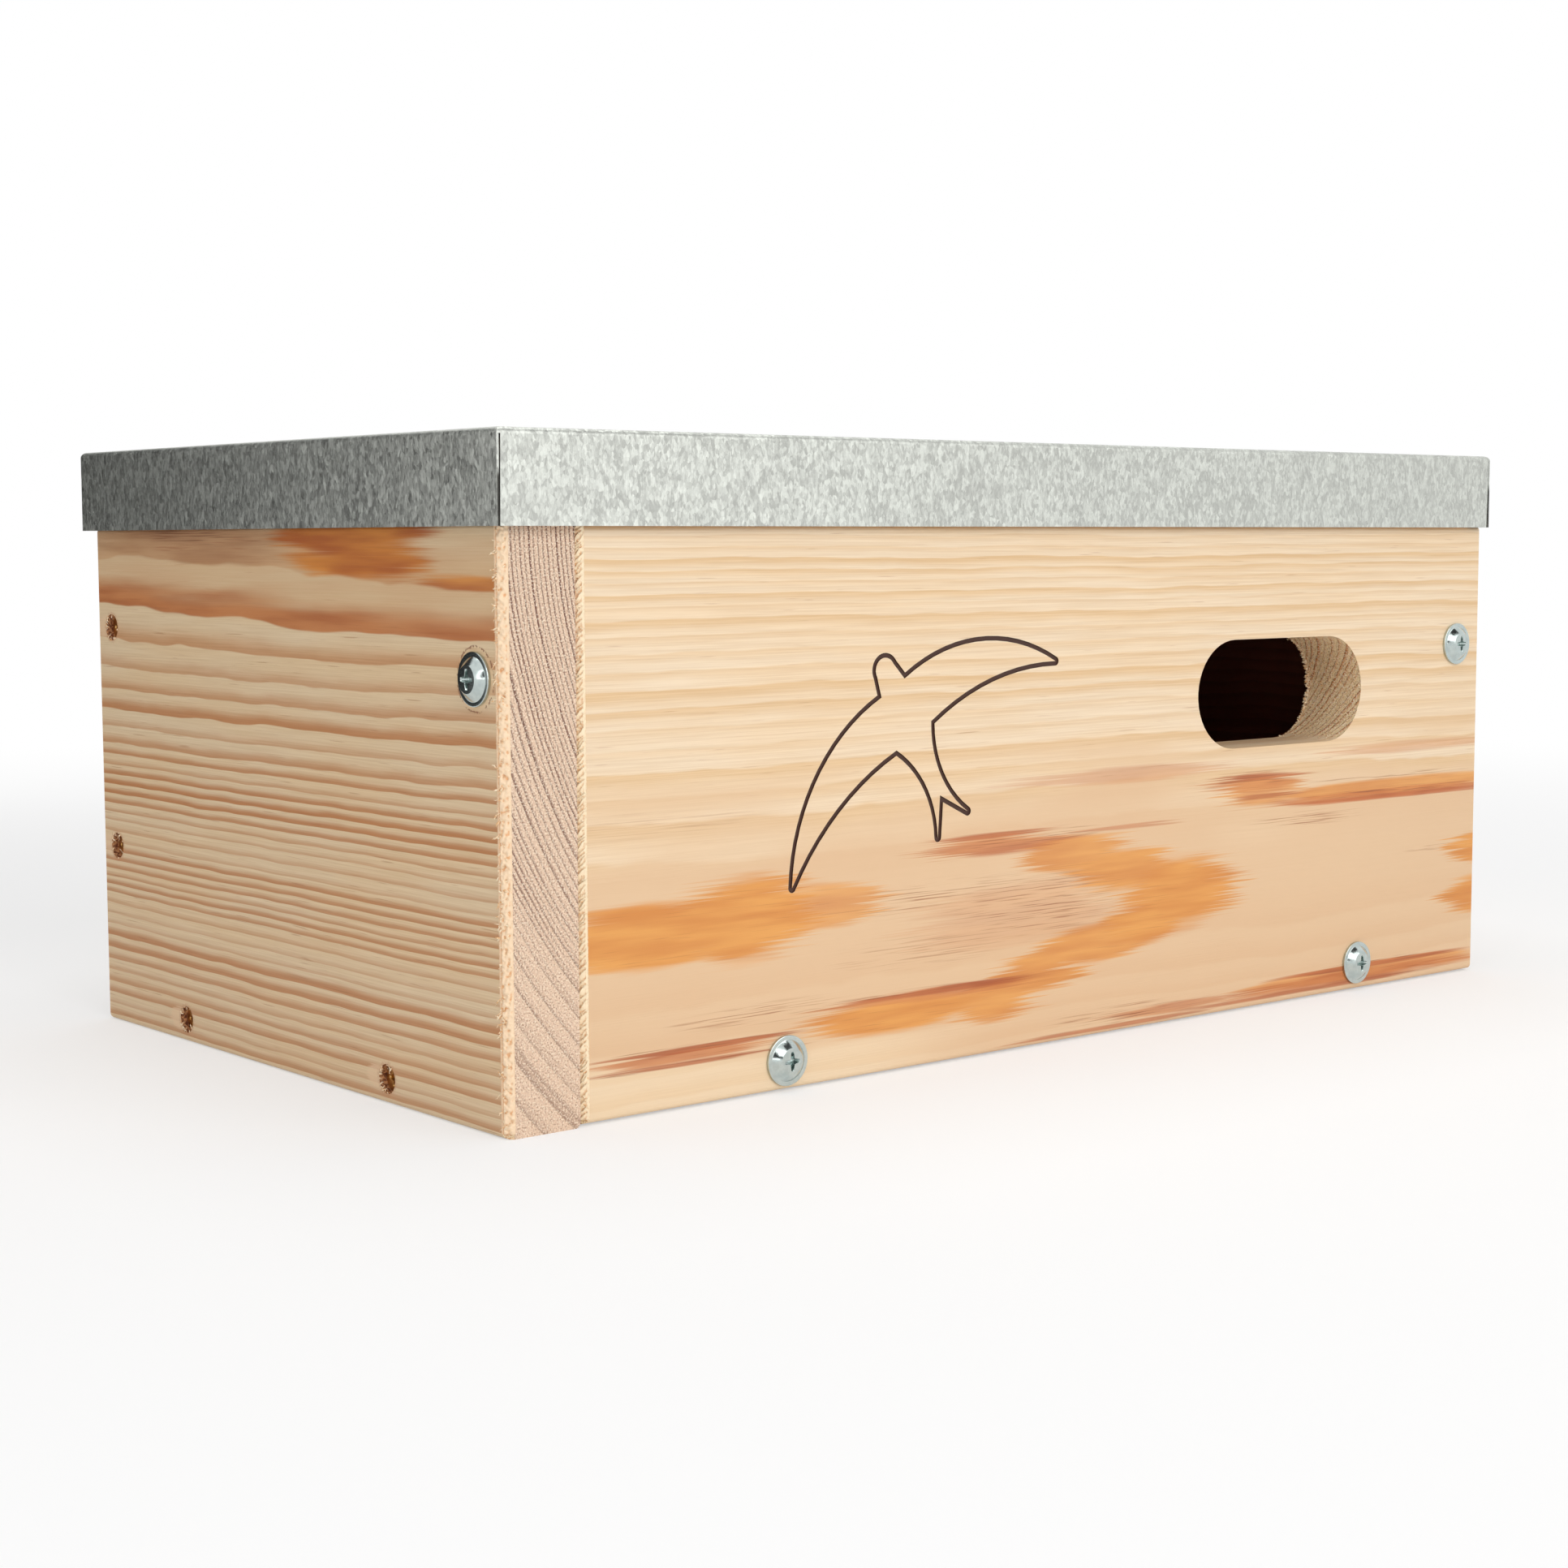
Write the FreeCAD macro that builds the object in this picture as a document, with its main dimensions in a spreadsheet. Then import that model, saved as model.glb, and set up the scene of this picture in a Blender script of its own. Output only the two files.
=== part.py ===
import FreeCAD, Part
import math
import os
import re
import Sketcher

V = FreeCAD.Vector

# A nest box for swifts: six planed pine boards screwed together under a folded galvanised cap.
# The frame stands at the middle of the box's underside, +X to the right, +Y to the back, +Z up.

# Driving sizes in millimetres and degrees, each the only place where its number is written.
SIZES = {
    # Boards
    "box_length": 357,
    "box_depth": 200,
    "wall_height": 137.4,
    "side_thickness": 20,
    "front_thickness": 20,
    "back_thickness": 15,
    "floor_thickness": 15,
    "roof_thickness": 20,
    "arris_radius": 1.5,
    "end_chamfer": 2,
    "panel_gap": 0.3,
    "panel_rise": 0.5,
    # Entrance in the front panel, from the right end of the box
    "slot_width": 71.5,
    "slot_height": 30.5,
    "slot_inset": 92,
    "slot_level": 90,
    # Folded sheet cap, with the space that it leaves round the walls
    "sheet_thickness": 0.6,
    "bend_radius": 0.9,
    "skirt_height": 21.5,
    "left_overhang": 1.7,
    "right_overhang": 0.2,
    "front_overhang": 2.2,
    "back_overhang": 3.7,
    "cap_play": 0.15,
    "left_seam_top": 0.45,
    "left_seam_low": 0.15,
    "right_seam_top": 0.1,
    "right_seam_low": 0.6,
    # Countersunk screws, sunk below the face of the board
    "screw_length": 40,
    "screw_shank": 4,
    "screw_head": 7,
    "screw_point": 4,
    "screw_sink": 2,
    "screw_cross": 3.8,
    "screw_cross_depth": 1.2,
    "head_angle": 90,
    # Wafer head screws, which let the front panel be taken off
    "wafer_length": 38,
    "wafer_shank": 4.2,
    "wafer_head": 12.4,
    "wafer_rim": 0.8,
    "wafer_shoulder": 10.4,
    "wafer_top": 6.4,
    "wafer_height": 2.5,
    "wafer_cross": 4.6,
    "wafer_cross_depth": 1.7,
    "cross_arm": 1,
    # Room round the screws
    "head_play": 0.2,
    "shank_play": 0.5,
    "pilot_play": 0.1,
    "pilot_reach": 1,
    # Places of the screws
    "left_screw_level": 102.6,
    "left_screw_back": 0.3,
    "right_screw_level": 101.4,
    "right_screw_inset": 11,
    "low_left_inset": 60.7,
    "low_left_lift": 0.2,
    "low_right_inset": 56.6,
    "low_right_lift": 0.9,
    "floor_screw_front": 51,
    "floor_screw_back": 46.5,
    "floor_screw_drop": 1.5,
    "wall_screw_high": 110,
    "wall_screw_low": 49.5,
    "rear_screw_inset": 60,
    "roof_screw_inset": 50,
    # Holes for hanging the box from its back
    "hanger_hole": 6,
    "hanger_spacing": 200,
    "hanger_level": 110,
    # Burnt line drawing of a swift on the front panel
    "swift_span": 104,
    "swift_heading": 120,
    "swift_inset": 128.5,
    "swift_level": 74.8,
    "line_width": 1.2,
    "line_depth": 0.4,
}

doc = FreeCAD.newDocument("swift_nest_box")
sheet = doc.addObject("Spreadsheet::Sheet", "Sizes")
for row, (alias, number) in enumerate(SIZES.items(), start=1):
    sheet.set(f"A{row}", alias)
    sheet.set(f"B{row}", str(number))
    sheet.setAlias(f"B{row}", alias)
doc.recompute()


def named(formula):
    """A formula with each size's name pointed at the sheet."""
    return re.sub(r"[a-z]+_\w+", r"Sizes.\g<0>", formula)


def value(formula):
    """The number that a formula gives at present."""
    return float(sheet.evalExpression(named(formula)))


def bind(thing, **formulas):
    """Tie properties of a feature to formulas of the named sizes."""
    for name, formula in formulas.items():
        thing.setExpression(name.replace("__", "."), named(formula))


# Planes that several boards share, in the frame of the whole box
LEFT = "-box_length / 2"
RIGHT = "box_length / 2"
FRONT = "-box_depth / 2"
BACK = "box_depth / 2"
INNER_LEFT = "(side_thickness - box_length / 2)"
INNER_FRONT = "(front_thickness - box_depth / 2)"
INNER_BACK = "(box_depth / 2 - back_thickness)"
PANEL_LEFT = "(side_thickness + panel_gap - box_length / 2)"


def sketch_on(body, role, name, offset=None):
    """Sketch on one of the body's own origin planes, lifted along the plane's normal."""
    sketch = body.newObject("Sketcher::SketchObject", name)
    plane = next(feature for feature in body.Origin.OriginFeatures if feature.Role == role)
    sketch.AttachmentSupport = [(plane, "")]
    sketch.MapMode = "FlatFace"
    if offset:
        bind(sketch, AttachmentOffset__Base__z=offset)
    return sketch


def dimension(sketch, kind, where, formula):
    """Driving dimension of a sketch, tied to a formula."""
    index = sketch.addConstraint(Sketcher.Constraint(kind, *where, value(formula)))
    sketch.setExpression(f"Constraints[{index}]", named(formula))


def outline(sketch, points):
    """Closed outline of straight edges through points given as formulas."""
    spots = [V(value(x), value(y), 0) for x, y in points]
    for here, there in zip(spots, spots[1:] + spots[:1]):
        sketch.addGeometry(Part.LineSegment(here, there))
    for number in range(len(points)):
        after = (number + 1) % len(points)
        sketch.addConstraint(Sketcher.Constraint("Coincident", number, 2, after, 1))
    for number, (x, y) in enumerate(points):
        for kind, axis, formula in (("DistanceX", -2, x), ("DistanceY", -1, y)):
            if formula == "0":
                sketch.addConstraint(Sketcher.Constraint("PointOnObject", number, 1, axis))
            else:
                dimension(sketch, kind, (-1, 1, number, 1), formula)


def circles(sketch, centres, diameter):
    """Circles of one diameter at centres given as formulas."""
    for number, (x, y) in enumerate(centres):
        sketch.addGeometry(Part.Circle(V(value(x), value(y), 0), V(0, 0, 1), value(diameter) / 2))
        dimension(sketch, "DistanceX", (-1, 1, number, 3), x)
        dimension(sketch, "DistanceY", (-1, 1, number, 3), y)
        dimension(sketch, "Diameter", (number,), diameter)


def stadium(sketch, x, y, width, height):
    """Slot with round ends: its middle, its whole width and its height as formulas."""
    radius = value(height) / 2
    reach = (value(width) - value(height)) / 2
    middle = V(value(x), value(y), 0)
    right = Part.Circle(middle + V(reach, 0, 0), V(0, 0, 1), radius)
    left = Part.Circle(middle - V(reach, 0, 0), V(0, 0, 1), radius)
    lift = V(0, radius, 0)
    sketch.addGeometry(Part.ArcOfCircle(right, -math.pi / 2, math.pi / 2))
    sketch.addGeometry(Part.LineSegment(right.Center + lift, left.Center + lift))
    sketch.addGeometry(Part.ArcOfCircle(left, math.pi / 2, 3 * math.pi / 2))
    sketch.addGeometry(Part.LineSegment(left.Center - lift, right.Center - lift))
    for edge in range(4):
        sketch.addConstraint(Sketcher.Constraint("Tangent", edge, 2, (edge + 1) % 4, 1))
    sketch.addConstraint(Sketcher.Constraint("Horizontal", 1))
    sketch.addConstraint(Sketcher.Constraint("Equal", 0, 2))
    dimension(sketch, "Diameter", (0,), height)
    for arc, sign in ((0, "+"), (2, "-")):
        dimension(sketch, "DistanceX", (-1, 1, arc, 3), f"{x} {sign} ({width} - {height}) / 2")
    dimension(sketch, "DistanceY", (-1, 1, 0, 3), y)


def feature(body, kind, name, **formulas):
    """New feature at the end of a body, with its sizes tied to formulas."""
    doc.recompute()
    made = body.newObject(f"PartDesign::{kind}", name)
    bind(made, **formulas)
    return made


def pad(body, sketch, length):
    """Block grown along the sketch's normal."""
    block = feature(body, "Pad", f"{sketch.Name}_pad", Length=length)
    block.Profile = sketch
    return block


def pocket(body, sketch, depth=None):
    """Cut from the sketch into the block, to a depth or through all of it."""
    cut = feature(body, "Pocket", f"{sketch.Name}_cut")
    cut.Profile = sketch
    if depth:
        bind(cut, Length=depth)
    else:
        cut.Type = "ThroughAll"
    return cut


def edges_along(solid, axis, test=lambda middle: True):
    """Names of the straight edges along an axis whose middle passes a test."""
    found = []
    for number, edge in enumerate(solid.Shape.Edges, start=1):
        if edge.Curve.TypeId != "Part::GeomLine":
            continue
        if abs(edge.tangentAt(edge.FirstParameter).dot(axis)) > 0.999 and test(edge.CenterOfMass):
            found.append(f"Edge{number}")
    return found


def dress(body, kind, base, edges, **formulas):
    """Fillet or chamfer on named edges of the feature before it."""
    dressed = feature(body, kind, f"{base.Name}_{kind.lower()}", **formulas)
    dressed.Base = (base, edges)
    return dressed


def place(body, turn, base):
    """Turn a body and tie its origin to three formulas."""
    body.Placement = FreeCAD.Placement(V(0, 0, 0), turn)
    bind(body, Placement__Base__x=base[0], Placement__Base__y=base[1], Placement__Base__z=base[2])


class Board:
    """A planed board: outer face on its own XZ plane, grain along its X, thickness towards its +Y.

    The long arrises are rounded. An outer end arris named in broken, as False for the one at the origin and
    True for the far one, is broken by a chamfer. The board's own frame has its origin at a corner of the
    outer face, so that every place on it is a positive distance.
    """

    def __init__(self, name, length, thickness, height, turn, base, broken=()):
        self.name = name
        self.turn = turn
        self.base = base
        self.body = doc.addObject("PartDesign::Body", name)
        face = sketch_on(self.body, "XZ_Plane", f"{name}_face")
        outline(face, [("0", "0"), (length, "0"), (length, height), ("0", height)])
        plank = pad(self.body, face, thickness)
        plank.Reversed = True
        doc.recompute()
        shaped = plank
        if broken:
            outer = edges_along(plank, V(0, 0, 1), lambda middle: middle.y < value(thickness) / 2
                                and (middle.x > value(length) / 2) in broken)
            shaped = dress(self.body, "Chamfer", plank, outer, Size="end_chamfer")
            doc.recompute()
        dress(self.body, "Fillet", shaped, edges_along(shaped, V(1, 0, 0)), Radius="arris_radius")
        place(self.body, turn, base)

    def local(self, point):
        """Formulas of a point in the board's own frame, from its formulas in the frame of the box."""
        found = []
        for axis in (V(1, 0, 0), V(0, 1, 0), V(0, 0, 1)):
            along = self.turn.multVec(axis)
            shared = max(range(3), key=lambda number: abs(along[number]))
            sign = "" if along[shared] > 0 else "-"
            found.append(f"{sign}(({point[shared]}) - ({self.base[shared]}))")
        return found

    def seats(self, screws, kind):
        """Places of one kind of screw on the outer face, as pairs of formulas."""
        points = [self.local(screw.seat) for screw in screws if screw.kind == kind]
        return [(x, z) for x, y, z in points]

    def pass_screws(self, screws):
        """Holes in the outer face that the screws' heads bear on."""
        sunk = self.seats(screws, "screw")
        if sunk:
            recess = sketch_on(self.body, "XZ_Plane", f"{self.name}_recess")
            circles(recess, sunk, "screw_head + head_play")
            pocket(self.body, recess, "screw_sink")
            cone = sketch_on(self.body, "XZ_Plane", f"{self.name}_countersink", "-screw_sink")
            circles(cone, sunk, "screw_shank + shank_play")
            hole = feature(self.body, "Hole", f"{self.name}_hole")
            hole.Profile = cone
            hole.ThreadType = "None"
            hole.HoleCutType = "Countersink"
            hole.HoleCutCustomValues = True
            hole.DepthType = "ThroughAll"
            bind(hole, Diameter="screw_shank + shank_play", HoleCutDiameter="screw_head + head_play")
            bind(hole, HoleCutCountersinkAngle="head_angle")
        flat = self.seats(screws, "wafer")
        if flat:
            bore = sketch_on(self.body, "XZ_Plane", f"{self.name}_clearance")
            circles(bore, flat, "wafer_shank + shank_play")
            pocket(self.body, bore)

    def take_screws(self, screws):
        """Pilot holes for the screws that bite into this board."""
        into = self.turn.inverted()
        for screw in screws:
            x, y, z = self.local(screw.seat)
            pilot = feature(self.body, "SubtractiveCylinder", f"{screw.name}_pilot")
            inward = into.multVec(-screw.outward)
            pilot.Placement = FreeCAD.Placement(V(0, 0, 0), FreeCAD.Rotation(V(0, 0, 1), inward))
            bind(pilot, Placement__Base__x=x, Placement__Base__y=y, Placement__Base__z=z)
            bind(pilot, Radius=f"({screw.kind}_shank + pilot_play) / 2")
            bind(pilot, Height=f"{screw.depth} + pilot_reach")


class Screw:
    """A screw with its head on a board's face: kind, place of the face and the way the head points."""

    def __init__(self, name, kind, seat, outward):
        self.name = name
        self.kind = kind
        self.seat = seat
        self.outward = outward
        self.depth = "(screw_length + screw_sink)" if kind == "screw" else "wafer_length"

    def build(self):
        """Turned blank with its point at the origin, then a cross recess in the head."""
        body = doc.addObject("PartDesign::Body", self.name)
        profile = sketch_on(body, "XZ_Plane", f"{self.name}_profile")
        if self.kind == "screw":
            top = "screw_length"
            cone = "(screw_head - screw_shank) / 2 / tan(head_angle / 2)"
            head = [("screw_shank / 2", f"{top} - {cone}"), ("screw_head / 2", top), ("0", top)]
        else:
            top = "wafer_length + wafer_height"
            rim = "wafer_length + wafer_rim"
            head = [("wafer_shank / 2", "wafer_length"), ("wafer_head / 2", "wafer_length"),
                    ("wafer_head / 2", rim), ("wafer_shoulder / 2", rim), ("wafer_top / 2", top),
                    ("0", top)]
        outline(profile, [("0", "0"), (f"{self.kind}_shank / 2", "screw_point")] + head)
        blank = feature(body, "Revolution", f"{self.name}_blank")
        blank.Profile = profile
        blank.ReferenceAxis = (profile, ["V_Axis"])
        blank.Angle = 360
        arm = sketch_on(body, "XY_Plane", f"{self.name}_arm", top)
        reach = f"{self.kind}_cross / 2"
        middle_arm(arm, reach, "cross_arm / 2")
        slot = pocket(body, arm, f"{self.kind}_cross_depth")
        cross = feature(body, "PolarPattern", f"{self.name}_cross")
        cross.Originals = [slot]
        cross.Axis = (arm, ["N_Axis"])
        cross.Angle = 90
        cross.Occurrences = 2
        body.Tip = cross
        base = []
        for number, formula in enumerate(self.seat):
            step = round(self.outward[number])
            base.append(f"({formula}) - ({step}) * {self.depth}")
        place(body, FreeCAD.Rotation(V(0, 0, 1), self.outward), base)
        return body


def middle_arm(sketch, reach, half):
    """Rectangle about the sketch's origin, from its half length and half width."""
    long, wide = value(reach), value(half)
    corners = [V(-long, -wide, 0), V(long, -wide, 0), V(long, wide, 0), V(-long, wide, 0)]
    for here, there in zip(corners, corners[1:] + corners[:1]):
        sketch.addGeometry(Part.LineSegment(here, there))
    for edge in range(4):
        sketch.addConstraint(Sketcher.Constraint("Coincident", edge, 2, (edge + 1) % 4, 1))
        sketch.addConstraint(Sketcher.Constraint("Horizontal" if edge % 2 == 0 else "Vertical", edge))
    sketch.addConstraint(Sketcher.Constraint("Symmetric", 0, 1, 1, 2, -1, 1))
    dimension(sketch, "DistanceX", (-1, 1, 1, 2), reach)
    dimension(sketch, "DistanceY", (-1, 1, 1, 2), half)


# Ways that a screw's head or a board's face can point
TO_LEFT = V(-1, 0, 0)
TO_RIGHT = V(1, 0, 0)
TO_FRONT = V(0, -1, 0)
TO_BACK = V(0, 1, 0)
UP = V(0, 0, 1)
ABOUT_X = V(1, 0, 0)

# The six boards. The side boards run from front to back, and the front panel covers the right one's end.
left_side = Board("left_side", "box_depth", "side_thickness", "wall_height",
                  FreeCAD.Rotation(UP, -90), (LEFT, BACK, "0"), broken=[True])
right_side = Board("right_side", "box_depth - front_thickness", "side_thickness", "wall_height",
                   FreeCAD.Rotation(UP, 90), (RIGHT, INNER_FRONT, "0"))
back_panel = Board("back_panel", "box_length - 2 * side_thickness", "back_thickness", "wall_height",
                   FreeCAD.Rotation(UP, 180), (f"-{INNER_LEFT}", BACK, "0"))
floor_panel = Board("floor_panel", "box_length - 2 * side_thickness", "floor_thickness",
                    "box_depth - front_thickness - back_thickness",
                    FreeCAD.Rotation(ABOUT_X, 90), (INNER_LEFT, INNER_BACK, "0"))
front_board = Board("front_board", "box_length - side_thickness - panel_gap", "front_thickness",
                    "wall_height - 2 * panel_rise",
                    FreeCAD.Rotation(UP, 0), (PANEL_LEFT, FRONT, "panel_rise"), broken=[False])
ROOF_LENGTH = "box_length + left_overhang + right_overhang - 2 * cap_play"
ROOF_DEPTH = "box_depth + front_overhang + back_overhang - 2 * cap_play"
ROOF_CORNER = (f"{LEFT} - left_overhang + cap_play", f"{FRONT} - front_overhang + cap_play",
               "wall_height + roof_thickness")
roof_board = Board("roof_board", ROOF_LENGTH, "roof_thickness", ROOF_DEPTH,
                   FreeCAD.Rotation(ABOUT_X, -90), ROOF_CORNER, broken=[False, True])

# Screws, each with the board that its head bears on and the board that it bites into
MID_BACK = "(box_depth / 2 - back_thickness / 2)"
MID_LEFT = "(side_thickness / 2 - box_length / 2)"
MID_RIGHT = "(box_length / 2 - side_thickness / 2)"
FLOOR_FRONT = "(floor_screw_front - box_depth / 2)"
FLOOR_BACK = "(box_depth / 2 - floor_screw_back)"
FLOOR_LEVEL = "(floor_thickness / 2 - floor_screw_drop)"
ROOF_FACE = "wall_height + roof_thickness"
fixings = []


def fix(carrier, receiver, name, kind, seat, outward):
    """A screw with its head on one board and its point in another."""
    fixings.append((Screw(name, kind, seat, outward), carrier, receiver))


for side, face, outward in ((left_side, LEFT, TO_LEFT), (right_side, RIGHT, TO_RIGHT)):
    word = side.name.split("_")[0]
    for number, level in enumerate(("wall_screw_high", "wall_screw_low"), start=1):
        fix(side, back_panel, f"{word}_wall_screw_{number}", "screw", (face, MID_BACK, level), outward)
    for number, depth in enumerate((FLOOR_FRONT, FLOOR_BACK), start=1):
        seat = (face, depth, FLOOR_LEVEL)
        fix(side, floor_panel, f"{word}_floor_screw_{number}", "screw", seat, outward)
for number, sign in enumerate(("-", ""), start=1):
    seat = (f"{sign}(box_length / 2 - side_thickness - rear_screw_inset)", BACK, "floor_thickness / 2")
    fix(back_panel, floor_panel, f"rear_floor_screw_{number}", "screw", seat, TO_BACK)
roof_places = [(side, middle, depth) for side, middle in ((left_side, MID_LEFT), (right_side, MID_RIGHT))
               for depth in (f"{FRONT} + roof_screw_inset", f"{BACK} - roof_screw_inset")]
for number, (side, middle, depth) in enumerate(roof_places, start=1):
    fix(roof_board, side, f"roof_screw_{number}", "screw", (middle, depth, ROOF_FACE), UP)
LOW_LEFT = (f"{PANEL_LEFT} + low_left_inset", FRONT, "floor_thickness / 2 + low_left_lift")
LOW_RIGHT = (f"{RIGHT} - low_right_inset", FRONT, "floor_thickness / 2 + low_right_lift")
HIGH_RIGHT = (f"{RIGHT} - right_screw_inset", FRONT, "right_screw_level")
HIGH_LEFT = (LEFT, "(front_thickness / 2 + left_screw_back - box_depth / 2)", "left_screw_level")
fix(front_board, floor_panel, "panel_screw_low_left", "wafer", LOW_LEFT, TO_FRONT)
fix(front_board, floor_panel, "panel_screw_low_right", "wafer", LOW_RIGHT, TO_FRONT)
fix(front_board, right_side, "panel_screw_right", "wafer", HIGH_RIGHT, TO_FRONT)
fix(left_side, front_board, "panel_screw_left", "wafer", HIGH_LEFT, TO_LEFT)

# Entrance slot in the front panel
slot_x, slot_y, slot_z = front_board.local((f"{RIGHT} - slot_inset", FRONT, "slot_level"))
entrance = sketch_on(front_board.body, "XZ_Plane", "entrance")
stadium(entrance, slot_x, slot_z, "slot_width", "slot_height")
pocket(front_board.body, entrance)

# Two holes through the back panel for the screws that hang the box
hangers = sketch_on(back_panel.body, "XZ_Plane", "hangers")
hanger_points = [back_panel.local((f"{sign}hanger_spacing / 2", BACK, "hanger_level"))
                 for sign in ("-", "")]
circles(hangers, [(x, z) for x, y, z in hanger_points], "hanger_hole")
pocket(back_panel.body, hangers)

# Holes for the screws, then the screws themselves
for board in (left_side, right_side, back_panel, floor_panel, front_board, roof_board):
    board.pass_screws([screw for screw, carrier, receiver in fixings if carrier is board])
    board.take_screws([screw for screw, carrier, receiver in fixings if receiver is board])
nodes = [screw.build() for screw, carrier, receiver in fixings]

# Cap folded from one sheet: four skirts bent down from the top, open seams at the corners
cap = doc.addObject("PartDesign::Body", "metal_cap")
cap_length = "box_length + left_overhang + right_overhang + 2 * sheet_thickness"
cap_depth = "box_depth + front_overhang + back_overhang + 2 * sheet_thickness"
cap_plan = sketch_on(cap, "XY_Plane", "cap_plan")
outline(cap_plan, [("0", "0"), (cap_length, "0"), (cap_length, cap_depth), ("0", cap_depth)])
cap_block = pad(cap, cap_plan, "skirt_height")
doc.recompute()
upper = value("skirt_height") / 2
crest = [name for axis in (V(1, 0, 0), V(0, 1, 0))
         for name in edges_along(cap_block, axis, lambda middle: middle.z > upper)]
dress(cap, "Fillet", cap_block, crest, Radius="bend_radius + sheet_thickness")
cap_inside = sketch_on(cap, "XY_Plane", "cap_inside")
near = "sheet_thickness"
far_x = f"{cap_length} - sheet_thickness"
far_y = f"{cap_depth} - sheet_thickness"
outline(cap_inside, [(near, near), (far_x, near), (far_x, far_y), (near, far_y)])
hollow = pocket(cap, cap_inside, "skirt_height - sheet_thickness")
hollow.Reversed = True
doc.recompute()
top_height = value("skirt_height - sheet_thickness")
inner = [name for axis, low, high in ((V(1, 0, 0), near, far_y), (V(0, 1, 0), near, far_x))
         for name in edges_along(hollow, axis, lambda middle: abs(middle.z - top_height) < 0.01)]
dress(cap, "Fillet", hollow, inner, Radius="bend_radius")
bend_foot = "skirt_height - bend_radius - sheet_thickness"
for word, edge, into in (("left", near, "+"), ("right", far_x, "-")):
    seam = sketch_on(cap, "XZ_Plane", f"{word}_seam")
    outline(seam, [(edge, "0"), (f"{edge} {into} {word}_seam_low", "0"),
                   (f"{edge} {into} {word}_seam_top", bend_foot), (edge, bend_foot)])
    pocket(cap, seam)
place(cap, FreeCAD.Rotation(),
      (f"{LEFT} - left_overhang - sheet_thickness", f"{FRONT} - front_overhang - sheet_thickness",
       "wall_height + roof_thickness + sheet_thickness - skirt_height"))

# Half of the swift from its cheek round the wing to the fork of the tail, in shares of half the span, as
# (along the body, across it). A second pair is the point that an edge's arc passes half way.
CHEEK = (0.585, 0.06)
NOSE = (0.645, 0.0)
HALF_SWIFT = [
    ((0.485, 0.085), None),
    ((0.017, 1.0), (0.415, 0.52)),
    ((0.215, 0.13), (0.185, 0.57)),
    ((-0.3, 0.115), (-0.02, 0.055)),
    ((-0.13, 0.0), None),
]


def swift_wire():
    """Closed outline of a gliding swift on the front face, mirrored about the line of its body."""
    heading = math.radians(value("swift_heading"))
    scale = value("swift_span") / 2
    middle = V(value(f"{LEFT} + swift_inset"), value(FRONT), value("swift_level"))
    along = V(math.cos(heading), 0, math.sin(heading)) * scale
    across = V(math.sin(heading), 0, -math.cos(heading)) * scale
    edges = []
    for side in (1, -1):
        def spot(share):
            return middle + along * share[0] + across * (share[1] * side)
        here = spot(CHEEK)
        for corner, through in HALF_SWIFT:
            there = spot(corner)
            if through:
                edges.append(Part.Arc(here, spot(through), there).toShape())
            else:
                edges.append(Part.LineSegment(here, there).toShape())
            here = there
    cheeks = [middle + along * CHEEK[0] + across * (CHEEK[1] * side) for side in (1, -1)]
    edges.append(Part.Arc(cheeks[0], middle + along * NOSE[0], cheeks[1]).toShape())
    return Part.Wire(Part.__sortEdges__(edges))


# Groove of the burnt line: a band round the outline, cut into the front face
swift = doc.addObject("Part::Feature", "swift_line")
swift.Shape = swift_wire()
band = doc.addObject("Part::Offset2D", "swift_band")
band.Source = swift
band.Fill = True
bind(band, Value="line_width")
groove = doc.addObject("Part::Extrusion", "swift_groove")
groove.Base = band
groove.DirMode = "Custom"
groove.Dir = TO_FRONT
groove.Solid = True
bind(groove, LengthFwd="line_depth", LengthRev="line_depth")
front_panel = doc.addObject("Part::Cut", "front_panel")
front_panel.Base = front_board.body
front_panel.Tool = groove

nodes += [board.body for board in (left_side, right_side, back_panel, floor_panel, roof_board)]
nodes += [front_panel, cap]
doc.recompute()

for thing in doc.Objects:
    if {"Invalid", "Error"} & set(thing.State):
        raise RuntimeError(f"{thing.Name} failed: {thing.State}")
for node in nodes:
    if node.Shape.isNull() or not node.Shape.isValid():
        raise RuntimeError(f"{node.Label} has no valid shape")

os.makedirs("parts", exist_ok=True)
for node in nodes:
    node.Shape.exportStep(f"parts/{node.Label}.step")
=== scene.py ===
import math

import bpy
import numpy as np
from mathutils import Matrix, Vector


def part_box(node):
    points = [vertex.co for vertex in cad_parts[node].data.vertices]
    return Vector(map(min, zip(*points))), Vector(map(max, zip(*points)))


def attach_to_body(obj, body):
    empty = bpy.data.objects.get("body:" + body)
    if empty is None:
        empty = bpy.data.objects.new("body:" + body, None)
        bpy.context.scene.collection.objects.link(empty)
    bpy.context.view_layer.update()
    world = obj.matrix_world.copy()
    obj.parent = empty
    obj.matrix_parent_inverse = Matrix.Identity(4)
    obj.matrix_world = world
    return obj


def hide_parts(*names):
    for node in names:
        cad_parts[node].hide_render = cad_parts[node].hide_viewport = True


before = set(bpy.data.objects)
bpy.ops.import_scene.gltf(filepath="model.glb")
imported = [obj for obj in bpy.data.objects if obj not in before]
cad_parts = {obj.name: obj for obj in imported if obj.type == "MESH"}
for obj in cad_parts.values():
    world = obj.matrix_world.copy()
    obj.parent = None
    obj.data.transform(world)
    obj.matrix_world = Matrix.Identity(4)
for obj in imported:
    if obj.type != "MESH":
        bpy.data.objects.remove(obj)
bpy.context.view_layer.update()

MM = 0.001


# Left side board: planed pine, 20 mm thick, the grain running from front to back.
# It is cut a little off the quarter, so its front end shows rings that stand upright under the roof and
# turn to a slant at the foot. It is screwed to the floor and to the back from outside.

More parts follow.
